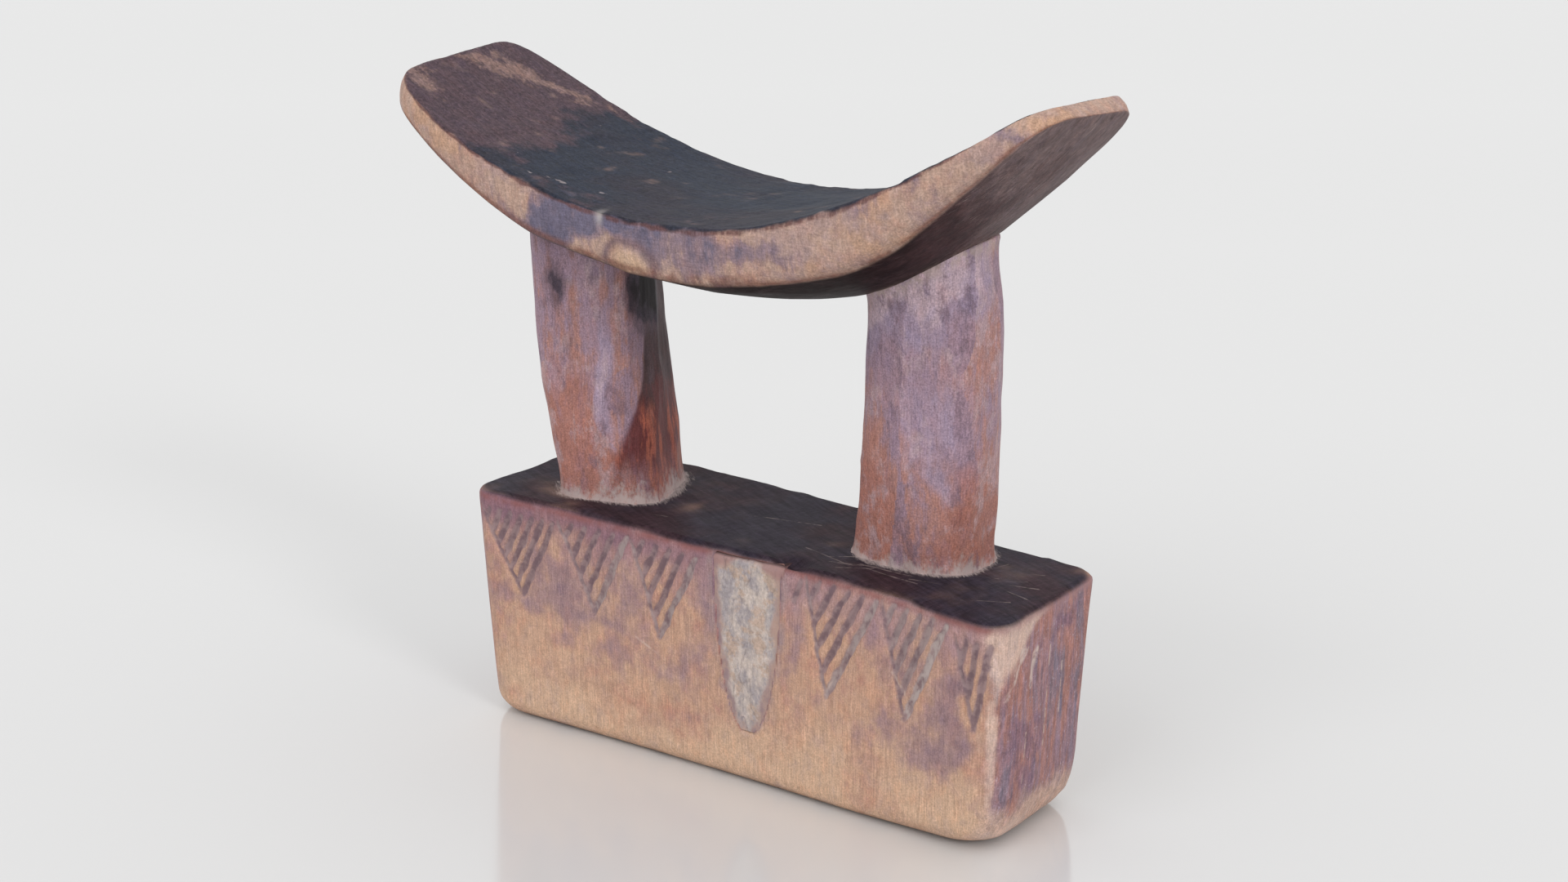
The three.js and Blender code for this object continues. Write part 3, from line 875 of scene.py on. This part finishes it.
class Tree:
    """A material's nodes, written as nested calls. Places are in millimetres."""

    def __init__(self, name):
        self.material = bpy.data.materials.new(name)
        self.material.use_nodes = True
        self.material.node_tree.nodes.clear()
        place = self.node("ShaderNodeTexCoord").outputs["Object"]
        self.place = self.vector("SCALE", place, Scale=1 / MM)[0]

    def node(self, kind, inputs=None, **settings):
        made = self.material.node_tree.nodes.new(kind)
        for key, value in settings.items():
            setattr(made, key, value)
        for key, value in (inputs or {}).items():
            source = getattr(value, "socket", value)
            if isinstance(source, bpy.types.NodeSocket):
                self.material.node_tree.links.new(source, made.inputs[key])
            else:
                made.inputs[key].default_value = source
        return made

    def math(self, operation, *values, clamp=False):
        inputs = dict(enumerate(values))
        made = self.node("ShaderNodeMath", inputs, operation=operation, use_clamp=clamp)
        return Value(self, made.outputs[0])

    def vector(self, operation, *values, **named):
        """The outputs of a vector sum: first the vector, then the number."""
        inputs = {**dict(enumerate(values)), **named}
        return self.node("ShaderNodeVectorMath", inputs, operation=operation).outputs

    def mask(self, name):
        return Value(self, self.node("ShaderNodeAttribute", attribute_name=name).outputs["Fac"])

    def along(self, axis):
        return Value(self, self.node("ShaderNodeSeparateXYZ", {0: self.place}).outputs[axis])

    def blend(self, share, a, b):
        """Colour a where share is 0 and colour b where it is 1."""
        a, b = ((*colour, 1) if isinstance(colour, tuple) else colour for colour in (a, b))
        inputs = {0: share, 6: a, 7: b}
        return self.node("ShaderNodeMix", inputs, data_type="RGBA", clamp_factor=True).outputs[2]

    def paint(self, colour, *layers):
        """Lays layers over a colour, one after another, each a (share, colour)."""
        for share, over in layers:
            colour = self.blend(share, colour, over)
        return colour

    def shade(self, colour, value, amount):
        """Lightens and darkens a colour by noise around 0.5."""
        return self.vector("SCALE", colour, Scale=amount * value + (1 - amount / 2))[0]

    def tint(self, share, colour, by):
        """Multiplies a colour by another where share is 1."""
        return self.blend(share, colour, self.vector("MULTIPLY", colour, by)[0])

    def grain(self, size, seed, detail=3.0, roughness=0.55, tilt=0.0):
        """Noise from 0 to 1 whose features have this size, which may differ by axis."""
        place = self.place
        if tilt:
            turned = {"Vector": place, "Angle": tilt}
            place = self.node("ShaderNodeVectorRotate", turned, rotation_type="Z_AXIS").outputs[0]
        fineness = tuple(1 / np.broadcast_to(size, 3))
        offset = (seed * 7.31, seed * 3.17, seed * 5.71)
        scaled = self.vector("MULTIPLY_ADD", place, fineness, offset)[0]
        inputs = {"Vector": scaled, "Scale": 1.0, "Detail": detail, "Roughness": roughness}
        return Value(self, self.node("ShaderNodeTexNoise", inputs).outputs[0])

    def line(self, start, end, width):
        """1 on a straight scratch between two places and 0 off it."""
        start, end = Vector(start), Vector(end)
        run = end - start
        off = self.vector("SUBTRACT", self.place, start)[0]
        share = self.vector("DOT_PRODUCT", off, run / run.length_squared)[1]
        nearest = self.vector("SCALE", run, Scale=self.math("ADD", share, 0.0, clamp=True))[0]
        away = Value(self, self.vector("DISTANCE", off, nearest)[1])
        return away.step(width, width * 0.3)

    def strands(self, lines, width, seed):
        """Thin pale fibres or scratches, broken up along their lengths."""
        total = 0.0
        for start, end in lines:
            total = self.math("MAXIMUM", total, self.line(start, end, width))
        return total * self.grain(2.4, seed, 4, 0.6).step(0.36, 0.6)

    def worn_wood(self, colour, along, fibre_strength, fine_strength):
        """Adds fibres that run along one axis (0, 1 or 2), mottling, pores and specks to a colour."""
        fibre = [0.3, 0.3, 0.3]
        fibre[along] = 6
        fibres = self.grain(fibre, 11, 3, 0.6)
        mottle = self.grain((1.7, 1.7, 2.2), 12, 5, 0.7)
        colour = self.shade(colour, fibres, fibre_strength)
        colour = self.shade(colour, mottle, 0.6)
        colour = self.shade(colour, self.grain(0.4, 13, 3, 0.6), fine_strength)
        hue = self.grain((3.4, 3.4, 6), 14, 5, 0.68)
        colour = self.tint(hue.step(0.5, 0.68, 0.5), colour, (0.8, 0.85, 1.0))
        colour = self.tint(hue.step(0.5, 0.34, 0.5), colour, (1.12, 1.0, 0.93))
        specks = self.grain(0.7, 15, 3, 0.6).step(0.68, 0.76, 0.5)
        return self.tint(specks, colour, (1.5, 1.6, 1.65)), fibres, mottle

    def finish(self, colour, roughness, height, distance, specular):
        """Wires up the surface. Its fine relief is this many millimetres high."""
        bump = self.node("ShaderNodeBump", {"Height": height, "Strength": 1.0, "Distance": distance * MM})
        inputs = {
            "Base Color": colour,
            "Roughness": roughness,
            "Normal": bump.outputs[0],
            "Specular IOR Level": specular,
        }
        surface = self.node("ShaderNodeBsdfPrincipled", inputs)
        self.node("ShaderNodeOutputMaterial", {"Surface": surface.outputs[0]})
        return self.material


TOP_STRANDS = [
    ((20, -11.5, 58.2), (31, -8.2, 58)),
    ((24, -9.9, 58), (37, -5.3, 57.8)),
    ((30, -7, 58), (44, -6.2, 57.6)),
    ((22, -7.5, 58.2), (27, -3.5, 58)),
    ((27, -12.5, 58), (34, -7.5, 57.8)),
    ((52, 2, 57.3), (60, 4.5, 57.2)),
    ((54, -3, 57.3), (66, 7, 57)),
    ((58, 8, 57.1), (67, 13, 57)),
    ((55, 1, 57.3), (71, -2, 56.9)),
    ((60, -12, 57.2), (69, -6, 57)),
    ((14, -6, 58.3), (27, -9, 58)),
    ((33, -8.5, 57.9), (47, -9.5, 57.5)),
    ((44, -8.0, 57.6), (55, -6, 57.3)),
    ((55, -8, 57.3), (60, -3, 57.1)),
    ((54, 4, 57.3), (57, 14, 57.2)),
    ((62, 2, 57.1), (70, 5, 56.9)),
    ((-36, -14, 59.7), (-24, -10, 59.4)),
    ((-10, 4, 59), (8, 9, 58.5)),
]

END_SCRATCHES = [
    ((75.2, -4.2, 47), (75.2, -6.4, 39)),
    ((75.2, -5.0, 46), (75.1, -6.2, 41)),
    ((75.4, -7.5, 49.5), (74.6, -16.5, 39)),
    ((75.3, -9.5, 49), (75.2, -13.5, 44)),
]

END_HAIRLINES = [
    ((75.3, 1.5, 46), (75.0, 0.6, 22)),
    ((75.3, 7.5, 40), (75.0, 7.0, 28)),
    ((75.3, -7.8, 28), (75.1, -8.4, 16)),
]

FRONT_SCRATCHES = [
    ((57.5, -21, 40.6), (64, -21, 39.4)),
    ((46, -18.5, 40), (52, -19, 33)),
    ((30, -18, 33), (26, -18, 25)),
    ((-26.4, -20, 31), (-16, -20, 26)),
    ((59.5, -20, 34), (60.2, -20, 25)),
]


def base_wood():
    t = Tree("base_wood")
    patch = t.grain((7, 7, 9), 1, 6, 0.66)
    broad = t.grain((24, 24, 18), 2, 4, 0.55)
    streak = t.grain((3.4, 3.4, 34), 3, 5, 0.62)
    patchy, streaky = patch - 0.5, streak - 0.5
    across, height = t.along(0), t.along(2)
    end, stain, dust = t.mask("end"), t.mask("stain"), t.mask("dust")

    tan, salmon, straw = (0.52, 0.32, 0.23), (0.49, 0.26, 0.195), (0.6, 0.405, 0.285)
    mauve, plum, slate = (0.33, 0.215, 0.225), (0.22, 0.145, 0.175), (0.2, 0.17, 0.22)
    stained = stain + 1.9 * patchy + 0.6 * streaky
    band = t.mask("band") * (broad + 0.5 * patch).step(0.45, 0.75)
    edge = t.mask("band") * t.mask("band") * across.step(60, -50, 0.85)
    front = t.paint(
        tan,
        (patch.step(0.45, 0.62, 0.75), salmon),
        (height.step(36, 6) * broad.step(0.3, 0.55), straw),
        (stained.step(0.1, 0.9, 0.85), mauve),
        (stained.step(0.7, 1.4, 0.75), plum),
        (0.7 * band, (0.4, 0.26, 0.28)),
        (edge + 0.15 * band, (0.27, 0.15, 0.18)),
        (0.75 * t.mask("beside") * patch.step(0.3, 0.6), (0.34, 0.25, 0.25)),
    )

    low = height.step(21, 1, 0.95) + 1.2 * patchy
    face = t.paint(
        (0.29, 0.185, 0.215),
        (streak.step(0.42, 0.58), (0.37, 0.185, 0.16)),
        (t.grain((4.5, 4.5, 26), 5, 5, 0.65).step(0.5, 0.64, 0.75), slate),
        ((stain + 2.0 * patchy).step(0.3, 1.0, 0.7), (0.21, 0.13, 0.18)),
        (t.grain((5, 5, 22), 6, 5, 0.66).step(0.52, 0.66, 0.6), (0.38, 0.185, 0.15)),
        (low.step(0.25, 0.8, 0.85), (0.58, 0.4, 0.32)),
    )
    face = t.shade(face, t.grain((0.9, 0.9, 7), 7, 4, 0.7), 1.0)
    face = t.shade(face, t.grain((1.8, 1.8, 3.5), 8, 5, 0.7), 1.1)
    face = t.blend(t.grain(0.9, 9, 3, 0.6).step(0.6, 0.7, 0.45), face, (0.48, 0.4, 0.46))
    worn = t.mask("wear") + 1.2 * patchy + 0.5 * streaky
    colour = t.paint(front, (end, face), (worn.step(0.25, 0.9, 0.85), (0.66, 0.48, 0.4)))
    # darker in patches along the bottom 2.6 mm
    bottom_darkening = height.step(2.6, 0.4) * patch.step(0.25, 0.6)
    colour = t.tint(0.8 * bottom_darkening, colour, (0.45, 0.38, 0.36))
    colour, fibres, mottle = t.worn_wood(colour, 2, 0.9, 0.9)

    dark = t.blend(broad.step(0.4, 0.6), (0.044, 0.024, 0.031), (0.034, 0.027, 0.04))
    dark = t.shade(dark, t.grain((9, 1.0, 9), 21, 5, 0.68, 0.4), 2.2)
    dark = t.shade(dark, t.grain((0.7, 5, 5), 23, 4, 0.65, 0.3), 1.5)
    rubbed = t.grain((9, 0.3, 9), 22, 3, 0.6, 0.5).step(0.62, 0.76, 0.7)
    wisps = (dust + 2.6 * (t.grain((3, 0.6, 3), 25, 5, 0.7, 0.7) - 0.5)).step(0.15, 1.0)
    dark = t.paint(
        t.tint(rubbed, dark, (2.4, 2.4, 2.3)),
        (0.55 * t.strands(TOP_STRANDS, 0.34, 24), (0.34, 0.27, 0.255)),
        (0.85 * wisps * dust.step(0.04, 0.3), (0.46, 0.385, 0.37)),
    )

    red_rim = t.mask("rim") * (patch + 0.4 * streak).step(0.45, 0.8)
    rim_colour = t.blend(end, (0.25, 0.09, 0.08), (0.34, 0.2, 0.2))
    groove = t.mask("cavity") + 0.3 * (t.grain(1.1, 31, 4, 0.65) - 0.5)
    groove_colour = t.blend(t.grain(2.4, 32, 4).step(0.4, 0.6), (0.2, 0.135, 0.155), (0.33, 0.235, 0.24))
    chalk = t.mask("residue") * t.grain((1.8, 1.8, 4.5), 33, 3, 0.6).step(0.34, 0.62)
    thin = t.math("MAXIMUM", t.strands(FRONT_SCRATCHES, 0.5, 35), t.strands(END_HAIRLINES, 0.5, 36))
    nick = t.line((NICK_X, -21, 0), (NICK_X, -21, 9.5), 1.6) * mottle.step(0.35, 0.55)
    colour = t.paint(
        colour,
        (0.75 * red_rim, rim_colour),
        (t.mask("top"), t.shade(dark, mottle, 0.9)),
        (groove.step(0.15, 0.65, 0.9), groove_colour),
        # the darkest core of each groove is painted shade
        (groove.step(0.75, 1.15, 0.4), (0.13, 0.085, 0.1)),
        (0.65 * chalk, (0.48, 0.4, 0.38)),
        (0.4 * t.mask("pocket"), (0.36, 0.26, 0.25)),
        (0.75 * t.strands(END_SCRATCHES, 1.1, 34), (0.66, 0.53, 0.47)),
        (0.6 * thin, (0.62, 0.47, 0.4)),
        (0.6 * nick, (0.42, 0.37, 0.34)),
    )
    rough = 0.6 + 0.25 * patchy + 0.2 * t.mask("cavity")
    bump = 0.35 * fibres + 0.45 * mottle + 0.25 * t.grain(0.5, 41, 4, 0.6)
    return t.finish(colour, rough, bump, 0.22, 0.12)


def clay():
    t = Tree("clay")
    mottle = t.grain((4.5, 4.5, 8), 1, 6, 0.68)
    fine = t.grain((0.9, 0.9, 1.6), 2, 5, 0.7)
    grey, cream, tan = (0.37, 0.325, 0.335), (0.58, 0.49, 0.44), (0.5, 0.365, 0.29)
    colour = t.paint(
        grey,
        (mottle.step(0.4, 0.6), cream),
        (t.grain(5, 3, 5, 0.68).step(0.5, 0.62, 0.85), tan),
        (t.grain((3, 3, 12), 5, 5, 0.68).step(0.55, 0.66, 0.5), (0.56, 0.5, 0.47)),
    )
    colour = t.shade(t.shade(colour, fine, 1.1), t.grain(0.45, 4, 3, 0.6), 0.6)
    wood = t.blend(mottle.step(0.4, 0.6), (0.45, 0.3, 0.25), (0.3, 0.21, 0.22))
    rim = t.mask("rim") + 0.8 * (fine - 0.5) + 1.6 * (mottle - 0.5)
    colour = t.paint(
        colour,
        (rim.step(0.15, 0.9, 0.95), wood),
        (0.85 * t.mask("brow"), (0.36, 0.21, 0.2)),
        (0.35 * t.mask("crack"), (0.2, 0.16, 0.17)),
        (t.mask("top"), (0.06, 0.036, 0.038)),
    )
    return t.finish(colour, 0.75 + 0.15 * fine, 0.6 * fine + 0.4 * mottle, 0.4, 0.15)


def post_wood():
    t = Tree("post_wood")
    patch = t.grain((4.5, 4.5, 11), 1, 6, 0.66)
    streak = t.grain((3, 3, 22), 2, 5, 0.64)
    broad = t.grain((13, 13, 26), 3, 4, 0.55)
    patchy, streaky, facet = patch - 0.5, streak - 0.5, t.mask("facet") - 0.5
    height, scuff = t.mask("height"), t.mask("scuff")
    lower = height.step(0.75, 0.1)

    # The left post's right flank: dark red stain painted darker as shade inside the arch, near-black at its
    # top under the platform.
    glow = (streak + 0.6 * patchy).step(0.46, 0.6) * height.step(0.39, 0.3)
    flank = t.paint(
        (0.075, 0.038, 0.04),
        (height.step(0.84, 0.98), (0.03, 0.016, 0.016)),
        (patch.step(0.42, 0.6, 0.75), (0.05, 0.026, 0.028)),
        ((patch + height).step(0.98, 0.75), (0.125, 0.03, 0.028)),
        (0.85 * glow, (0.4, 0.115, 0.07)),
        (t.grain((1.6, 1.6, 9), 6, 5, 0.66).step(0.56, 0.7, 0.25), (0.2, 0.12, 0.12)),
    )

    mauve, rust, pinkish = (0.33, 0.22, 0.27), (0.4, 0.205, 0.175), (0.46, 0.33, 0.35)
    uneven = 1.2 * patchy + 0.8 * streaky
    reddish = patchy + 0.8 * streaky + 0.3 * facet + 0.2 * lower
    low_rust = 0.8 * lower + 2.0 * (broad - 0.5) + 0.4 * facet
    lightened = t.mask("light") + 1.4 * patchy + 0.5 * facet
    pale = t.grain((5, 5, 8), 4, 6, 0.7) + 0.16 * facet
    dim = t.grain((4, 4, 8), 5, 6, 0.7) + -0.2 * facet
    red, dark = t.mask("red") + uneven, t.mask("dark") + uneven
    colour = t.paint(
        mauve,
        (reddish.step(-0.02, 0.24), rust),
        (low_rust.step(0.4, 1.0, 0.65), (0.36, 0.145, 0.11)),
        (lightened.step(0.3, 0.9, 0.85), (0.36, 0.275, 0.365)),
        # the palest layer is pale wood, and at the right post's top also painted light
        (lightened.step(1.0, 1.7, 0.9), (0.54, 0.4, 0.45)),
        (pale.step(0.52, 0.68, 0.65), pinkish),
        (dim.step(0.53, 0.68, 0.65), (0.19, 0.125, 0.16)),
        (0.93 * t.mask("shaded"), flank),
        (red.step(0.3, 0.9, 0.9), (0.2, 0.055, 0.045)),
        # the dark mask holds stains, and on the left post painted shade under the platform
        (dark.step(0.25, 0.8, 0.7), (0.14, 0.095, 0.12)),
        (dark.step(0.75, 1.2, 0.8), (0.045, 0.035, 0.05)),
        (dark.step(1.3, 2.0, 0.9), (0.012, 0.007, 0.007)),
    )
    colour, fibres, mottle = t.worn_wood(colour, 2, 0.9, 1.4)

    scuffed = (scuff + 3.0 * (t.grain((1.5, 1.5, 2.6), 8, 6, 0.72) - 0.5)).step(0.1, 1.15)
    join = t.mask("join") * t.grain((1.5, 1.5, 3.0), 9, 4).step(0.4, 0.6)
    colour = t.paint(
        colour,
        (0.85 * scuffed * scuff.step(0.03, 0.3), (0.5, 0.415, 0.4)),
        (0.6 * join * t.mask("dark").step(0.3, 0.05), (0.44, 0.34, 0.29)),
    )
    rough = 0.55 + 0.25 * patchy + 0.2 * scuff
    bump = 0.35 * fibres + 0.5 * mottle + 0.2 * streak
    return t.finish(colour, rough, bump, 0.2, 0.2)


def platform_wood():
    t = Tree("platform_wood")
    patch = t.grain((8, 7, 8), 1, 6, 0.66)
    wavy = t.grain((6, 0.9, 6), 2, 5, 0.68)
    streak = t.grain((2.2, 12, 9), 3, 5, 0.66)
    broad = t.grain((28, 22, 28), 4, 4, 0.55)
    patchy, wavering = patch - 0.5, wavy - 0.5
    on_top, tanned, tip = t.mask("top"), t.mask("tan"), t.mask("tip")

    slate, brown, rust = (0.03, 0.036, 0.055), (0.092, 0.06, 0.073), (0.26, 0.165, 0.145)
    brownish = t.mask("brown") + 1.6 * patchy + 0.4 * wavering
    freckles = tanned + 1.2 * patchy + 3.0 * (t.grain(2.6, 6, 5, 0.72) - 0.5)
    top = t.paint(
        slate,
        (broad.step(0.42, 0.62, 0.6), (0.04, 0.032, 0.043)),
        (brownish.step(0.35, 1.0), brown),
        (0.85 * freckles.step(0.3, 1.2) * tanned.step(0.05, 0.4), rust),
    )
    top = t.shade(t.shade(top, wavy, 1.5), t.grain(0.9, 5, 4, 0.7), 1.9)
    scratch = t.grain((4, 0.3, 4), 8, 2, 0.5, 0.25).step(0.72, 0.82, 0.25)
    specks = (t.mask("specks") + 1.6 * (t.grain(1.2, 9, 4, 0.7) - 0.5)).step(0.5, 0.8, 0.7)
    top = t.blend(t.math("MAXIMUM", specks, scratch), top, (0.36, 0.31, 0.32))

    tan, salmon, violet = (0.48, 0.325, 0.26), (0.45, 0.28, 0.225), (0.24, 0.175, 0.215)
    violets = t.mask("purple") + 1.5 * (streak - 0.5) + 2.0 * patchy
    rimmed = t.mask("rim").step(0.2, 0.9) * (streak + 0.5 * patch).step(0.45, 0.8)
    side = t.paint(
        tan,
        (patch.step(0.42, 0.6), salmon),
        (t.grain((12, 9, 7), 12, 5, 0.65).step(0.48, 0.64, 0.5), (0.38, 0.265, 0.265)),
        ((t.mask("warm") + 2.0 * patchy).step(0.2, 0.9, 0.8), (0.52, 0.32, 0.215)),
        (violets.step(0.2, 0.85, 0.85), violet),
        (violets.step(0.8, 1.5, 0.7), (0.11, 0.115, 0.185)),
        (0.9 * t.mask("knot_ring") * patch.step(0.25, 0.45), (0.19, 0.125, 0.14)),
        (0.95 * t.mask("knot"), (0.62, 0.42, 0.29)),
        (0.85 * rimmed, (0.14, 0.065, 0.062)),
        (0.75 * t.mask("low_rim") * patch.step(0.3, 0.55), (0.2, 0.085, 0.06)),
    )
    side = t.shade(side, t.grain((0.5, 3, 3), 18, 4, 0.65), 0.8)
    side = t.shade(side, t.grain(1.0, 16, 5, 0.75), 0.7)

    # The underside is painted near-black as shade under the platform, darkest between the posts and lighter
    # towards the tips.
    tipward = tip + 0.9 * patchy
    gouged = t.grain((5, 0.5, 5), 17, 4, 0.65, -0.5).step(0.56, 0.74)
    frayed = t.mask("join") * t.grain((2.4, 1.0, 2), 20, 4, 0.7).step(0.4, 0.6)
    under = t.paint(
        (0.011, 0.003, 0.003),
        (tipward.step(0.1, 0.65), (0.056, 0.025, 0.027)),
        (tipward.step(0.5, 1.1), (0.17, 0.115, 0.115)),
        (t.grain((6, 4, 6), 21, 5, 0.68).step(0.52, 0.66, 0.5), (0.05, 0.026, 0.028)),
        (0.6 * gouged * tip, (0.34, 0.27, 0.25)),
    )
    under = t.shade(under, t.grain((2.4, 1.4, 2.4), 19, 5, 0.72), 1.9)
    under = t.blend(0.8 * frayed, under, (0.36, 0.27, 0.22))

    colour = t.paint(side, (on_top, top), (t.mask("under"), under))
    colour, fibres, mottle = t.worn_wood(colour, 0, 0.6, 1.1)
    colour = t.blend(0.7 * t.mask("chip"), colour, (0.55, 0.5, 0.48))
    rough = 0.58 + 0.2 * patchy + 0.3 * wavering
    bump = 1.3 * wavy * on_top + 0.4 * streak * (1 - on_top) + 0.4 * mottle + 0.2 * fibres
    return t.finish(colour, rough, bump, 0.25, 0.14)


# ---- The pieces ----

make_foot(base_wood())
make_fill(clay())
make_platform(platform_wood())
posts_finish = post_wood()

LEFT_POST_PLACES = {
    # Dark stains; the spots at the top by the platform and the strong one high on the right flank are
    # painted shade.
    "dark": [
        ((-55, -17, 114), (2.6, 4, 4), 1.2),
        ((-56, -17, 107), (1.6, 4, 4), 0.5),
        ((-46, -14, 128), (14, 8, 8), 1.1),
        ((-60, -14, 126), (8, 8, 6), 0.5),
        ((-64, 4, 120), (5, 14, 10), 0.5),
        ((-52, -14, 96), (1.6, 6, 22), 0.4),
        ((-36.8, -1.5, 114), (4.2, 6, 9.5), 4.0),
        ((-34.5, 1, 89), (3, 3.5, 7), 0.8),
    ],
    "red": [
        ((-44, -13, 70), (4, 5, 7), 0.5),
        ((-51, -15, 66), (5, 5, 5), 0.4),
    ],
    "light": [((-41, -13, 92), (4, 6, 14), 1.5), ((-56, -12, 92), (3, 6, 8), 0.5)],
}

RIGHT_POST_PLACES = {
    "dark": [((36.5, -5, 80), (3, 5, 5), 0.6), ((40, 22, 95), (14, 5, 30), 0.6)],
    "red": [((53, 2, 70), (5, 8, 8), 0.4), ((40, -6, 76), (4, 5, 6), 0.25)],
    # Pale wood; the two spots at the top are made stronger as painted light where the platform shades the
    # post.
    "light": [
        ((44, -6, 128), (16, 8, 13), 2.4),
        ((29, -6, 121), (8, 8, 14), 2.6),
        ((47, -6, 96), (8, 8, 12), 0.8),
        ((50, -4, 78), (5, 6, 8), 0.7),
    ],
}

make_post("carved_left_post", "left_post", LEFT_POST, 71, LEFT_POST_PLACES, posts_finish)
make_post("carved_right_post", "right_post", RIGHT_POST, 171, RIGHT_POST_PLACES, posts_finish)

# ---- Floor, light and camera ----


def make_floor(half):
    mesh = bpy.data.meshes.new("floor")
    corners = [(-half, -half, 0), (half, -half, 0), (half, half, 0), (-half, half, 0)]
    mesh.from_pydata(corners, [], [(0, 1, 2, 3)])
    material = bpy.data.materials.new("floor")
    material.use_nodes = True
    surface = material.node_tree.nodes["Principled BSDF"]
    surface.inputs["Base Color"].default_value = (0.75, 0.75, 0.75, 1)
    surface.inputs["Roughness"].default_value = 0.12
    surface.inputs["IOR"].default_value = 1.85
    surface.inputs["Specular IOR Level"].default_value = 1.0
    mesh.materials.append(material)
    floor = bpy.data.objects.new("floor", mesh)
    floor.location.z = -0.0003
    bpy.context.scene.collection.objects.link(floor)


def make_light(name, azimuth, elevation, spread, strength):
    """Parallel light from an azimuth and elevation, softened as if from a disc this wide."""
    a, e = math.radians(azimuth), math.radians(elevation)
    back = Vector((math.sin(a) * math.cos(e), -math.cos(a) * math.cos(e), math.sin(e)))
    data = bpy.data.lights.new(name, "SUN")
    data.angle = math.radians(spread)
    data.energy = strength
    lamp = bpy.data.objects.new(name, data)
    lamp.rotation_euler = back.to_track_quat("Z", "Y").to_euler()
    lamp.visible_glossy = False
    bpy.context.scene.collection.objects.link(lamp)


def make_world(strength):
    world = bpy.data.worlds.new("studio")
    world.use_nodes = True
    background = world.node_tree.nodes["Background"]
    background.inputs["Color"].default_value = (1, 1, 1, 1)
    background.inputs["Strength"].default_value = strength
    bpy.context.scene.world = world


def make_camera():
    a, e = math.radians(CAMERA["azimuth"]), math.radians(CAMERA["elevation"])
    back = Vector((math.sin(a) * math.cos(e), -math.cos(a) * math.cos(e), math.sin(e)))
    data = bpy.data.cameras.new("camera")
    data.lens = CAMERA["lens"]
    data.sensor_width = 36
    data.clip_start, data.clip_end = 0.01, 50
    camera = bpy.data.objects.new("camera", data)
    camera.location = CAMERA["at"]
    camera.rotation_euler = back.to_track_quat("Z", "Y").to_euler()
    bpy.context.scene.collection.objects.link(camera)
    bpy.context.scene.camera = camera


make_floor(12)
make_light("left_light", -8, 38, 35, 0.7)
make_light("right_light", 73, 27, 16, 0.7)
make_world(0.82)
make_camera()
bpy.context.scene.view_settings.view_transform = "Standard"
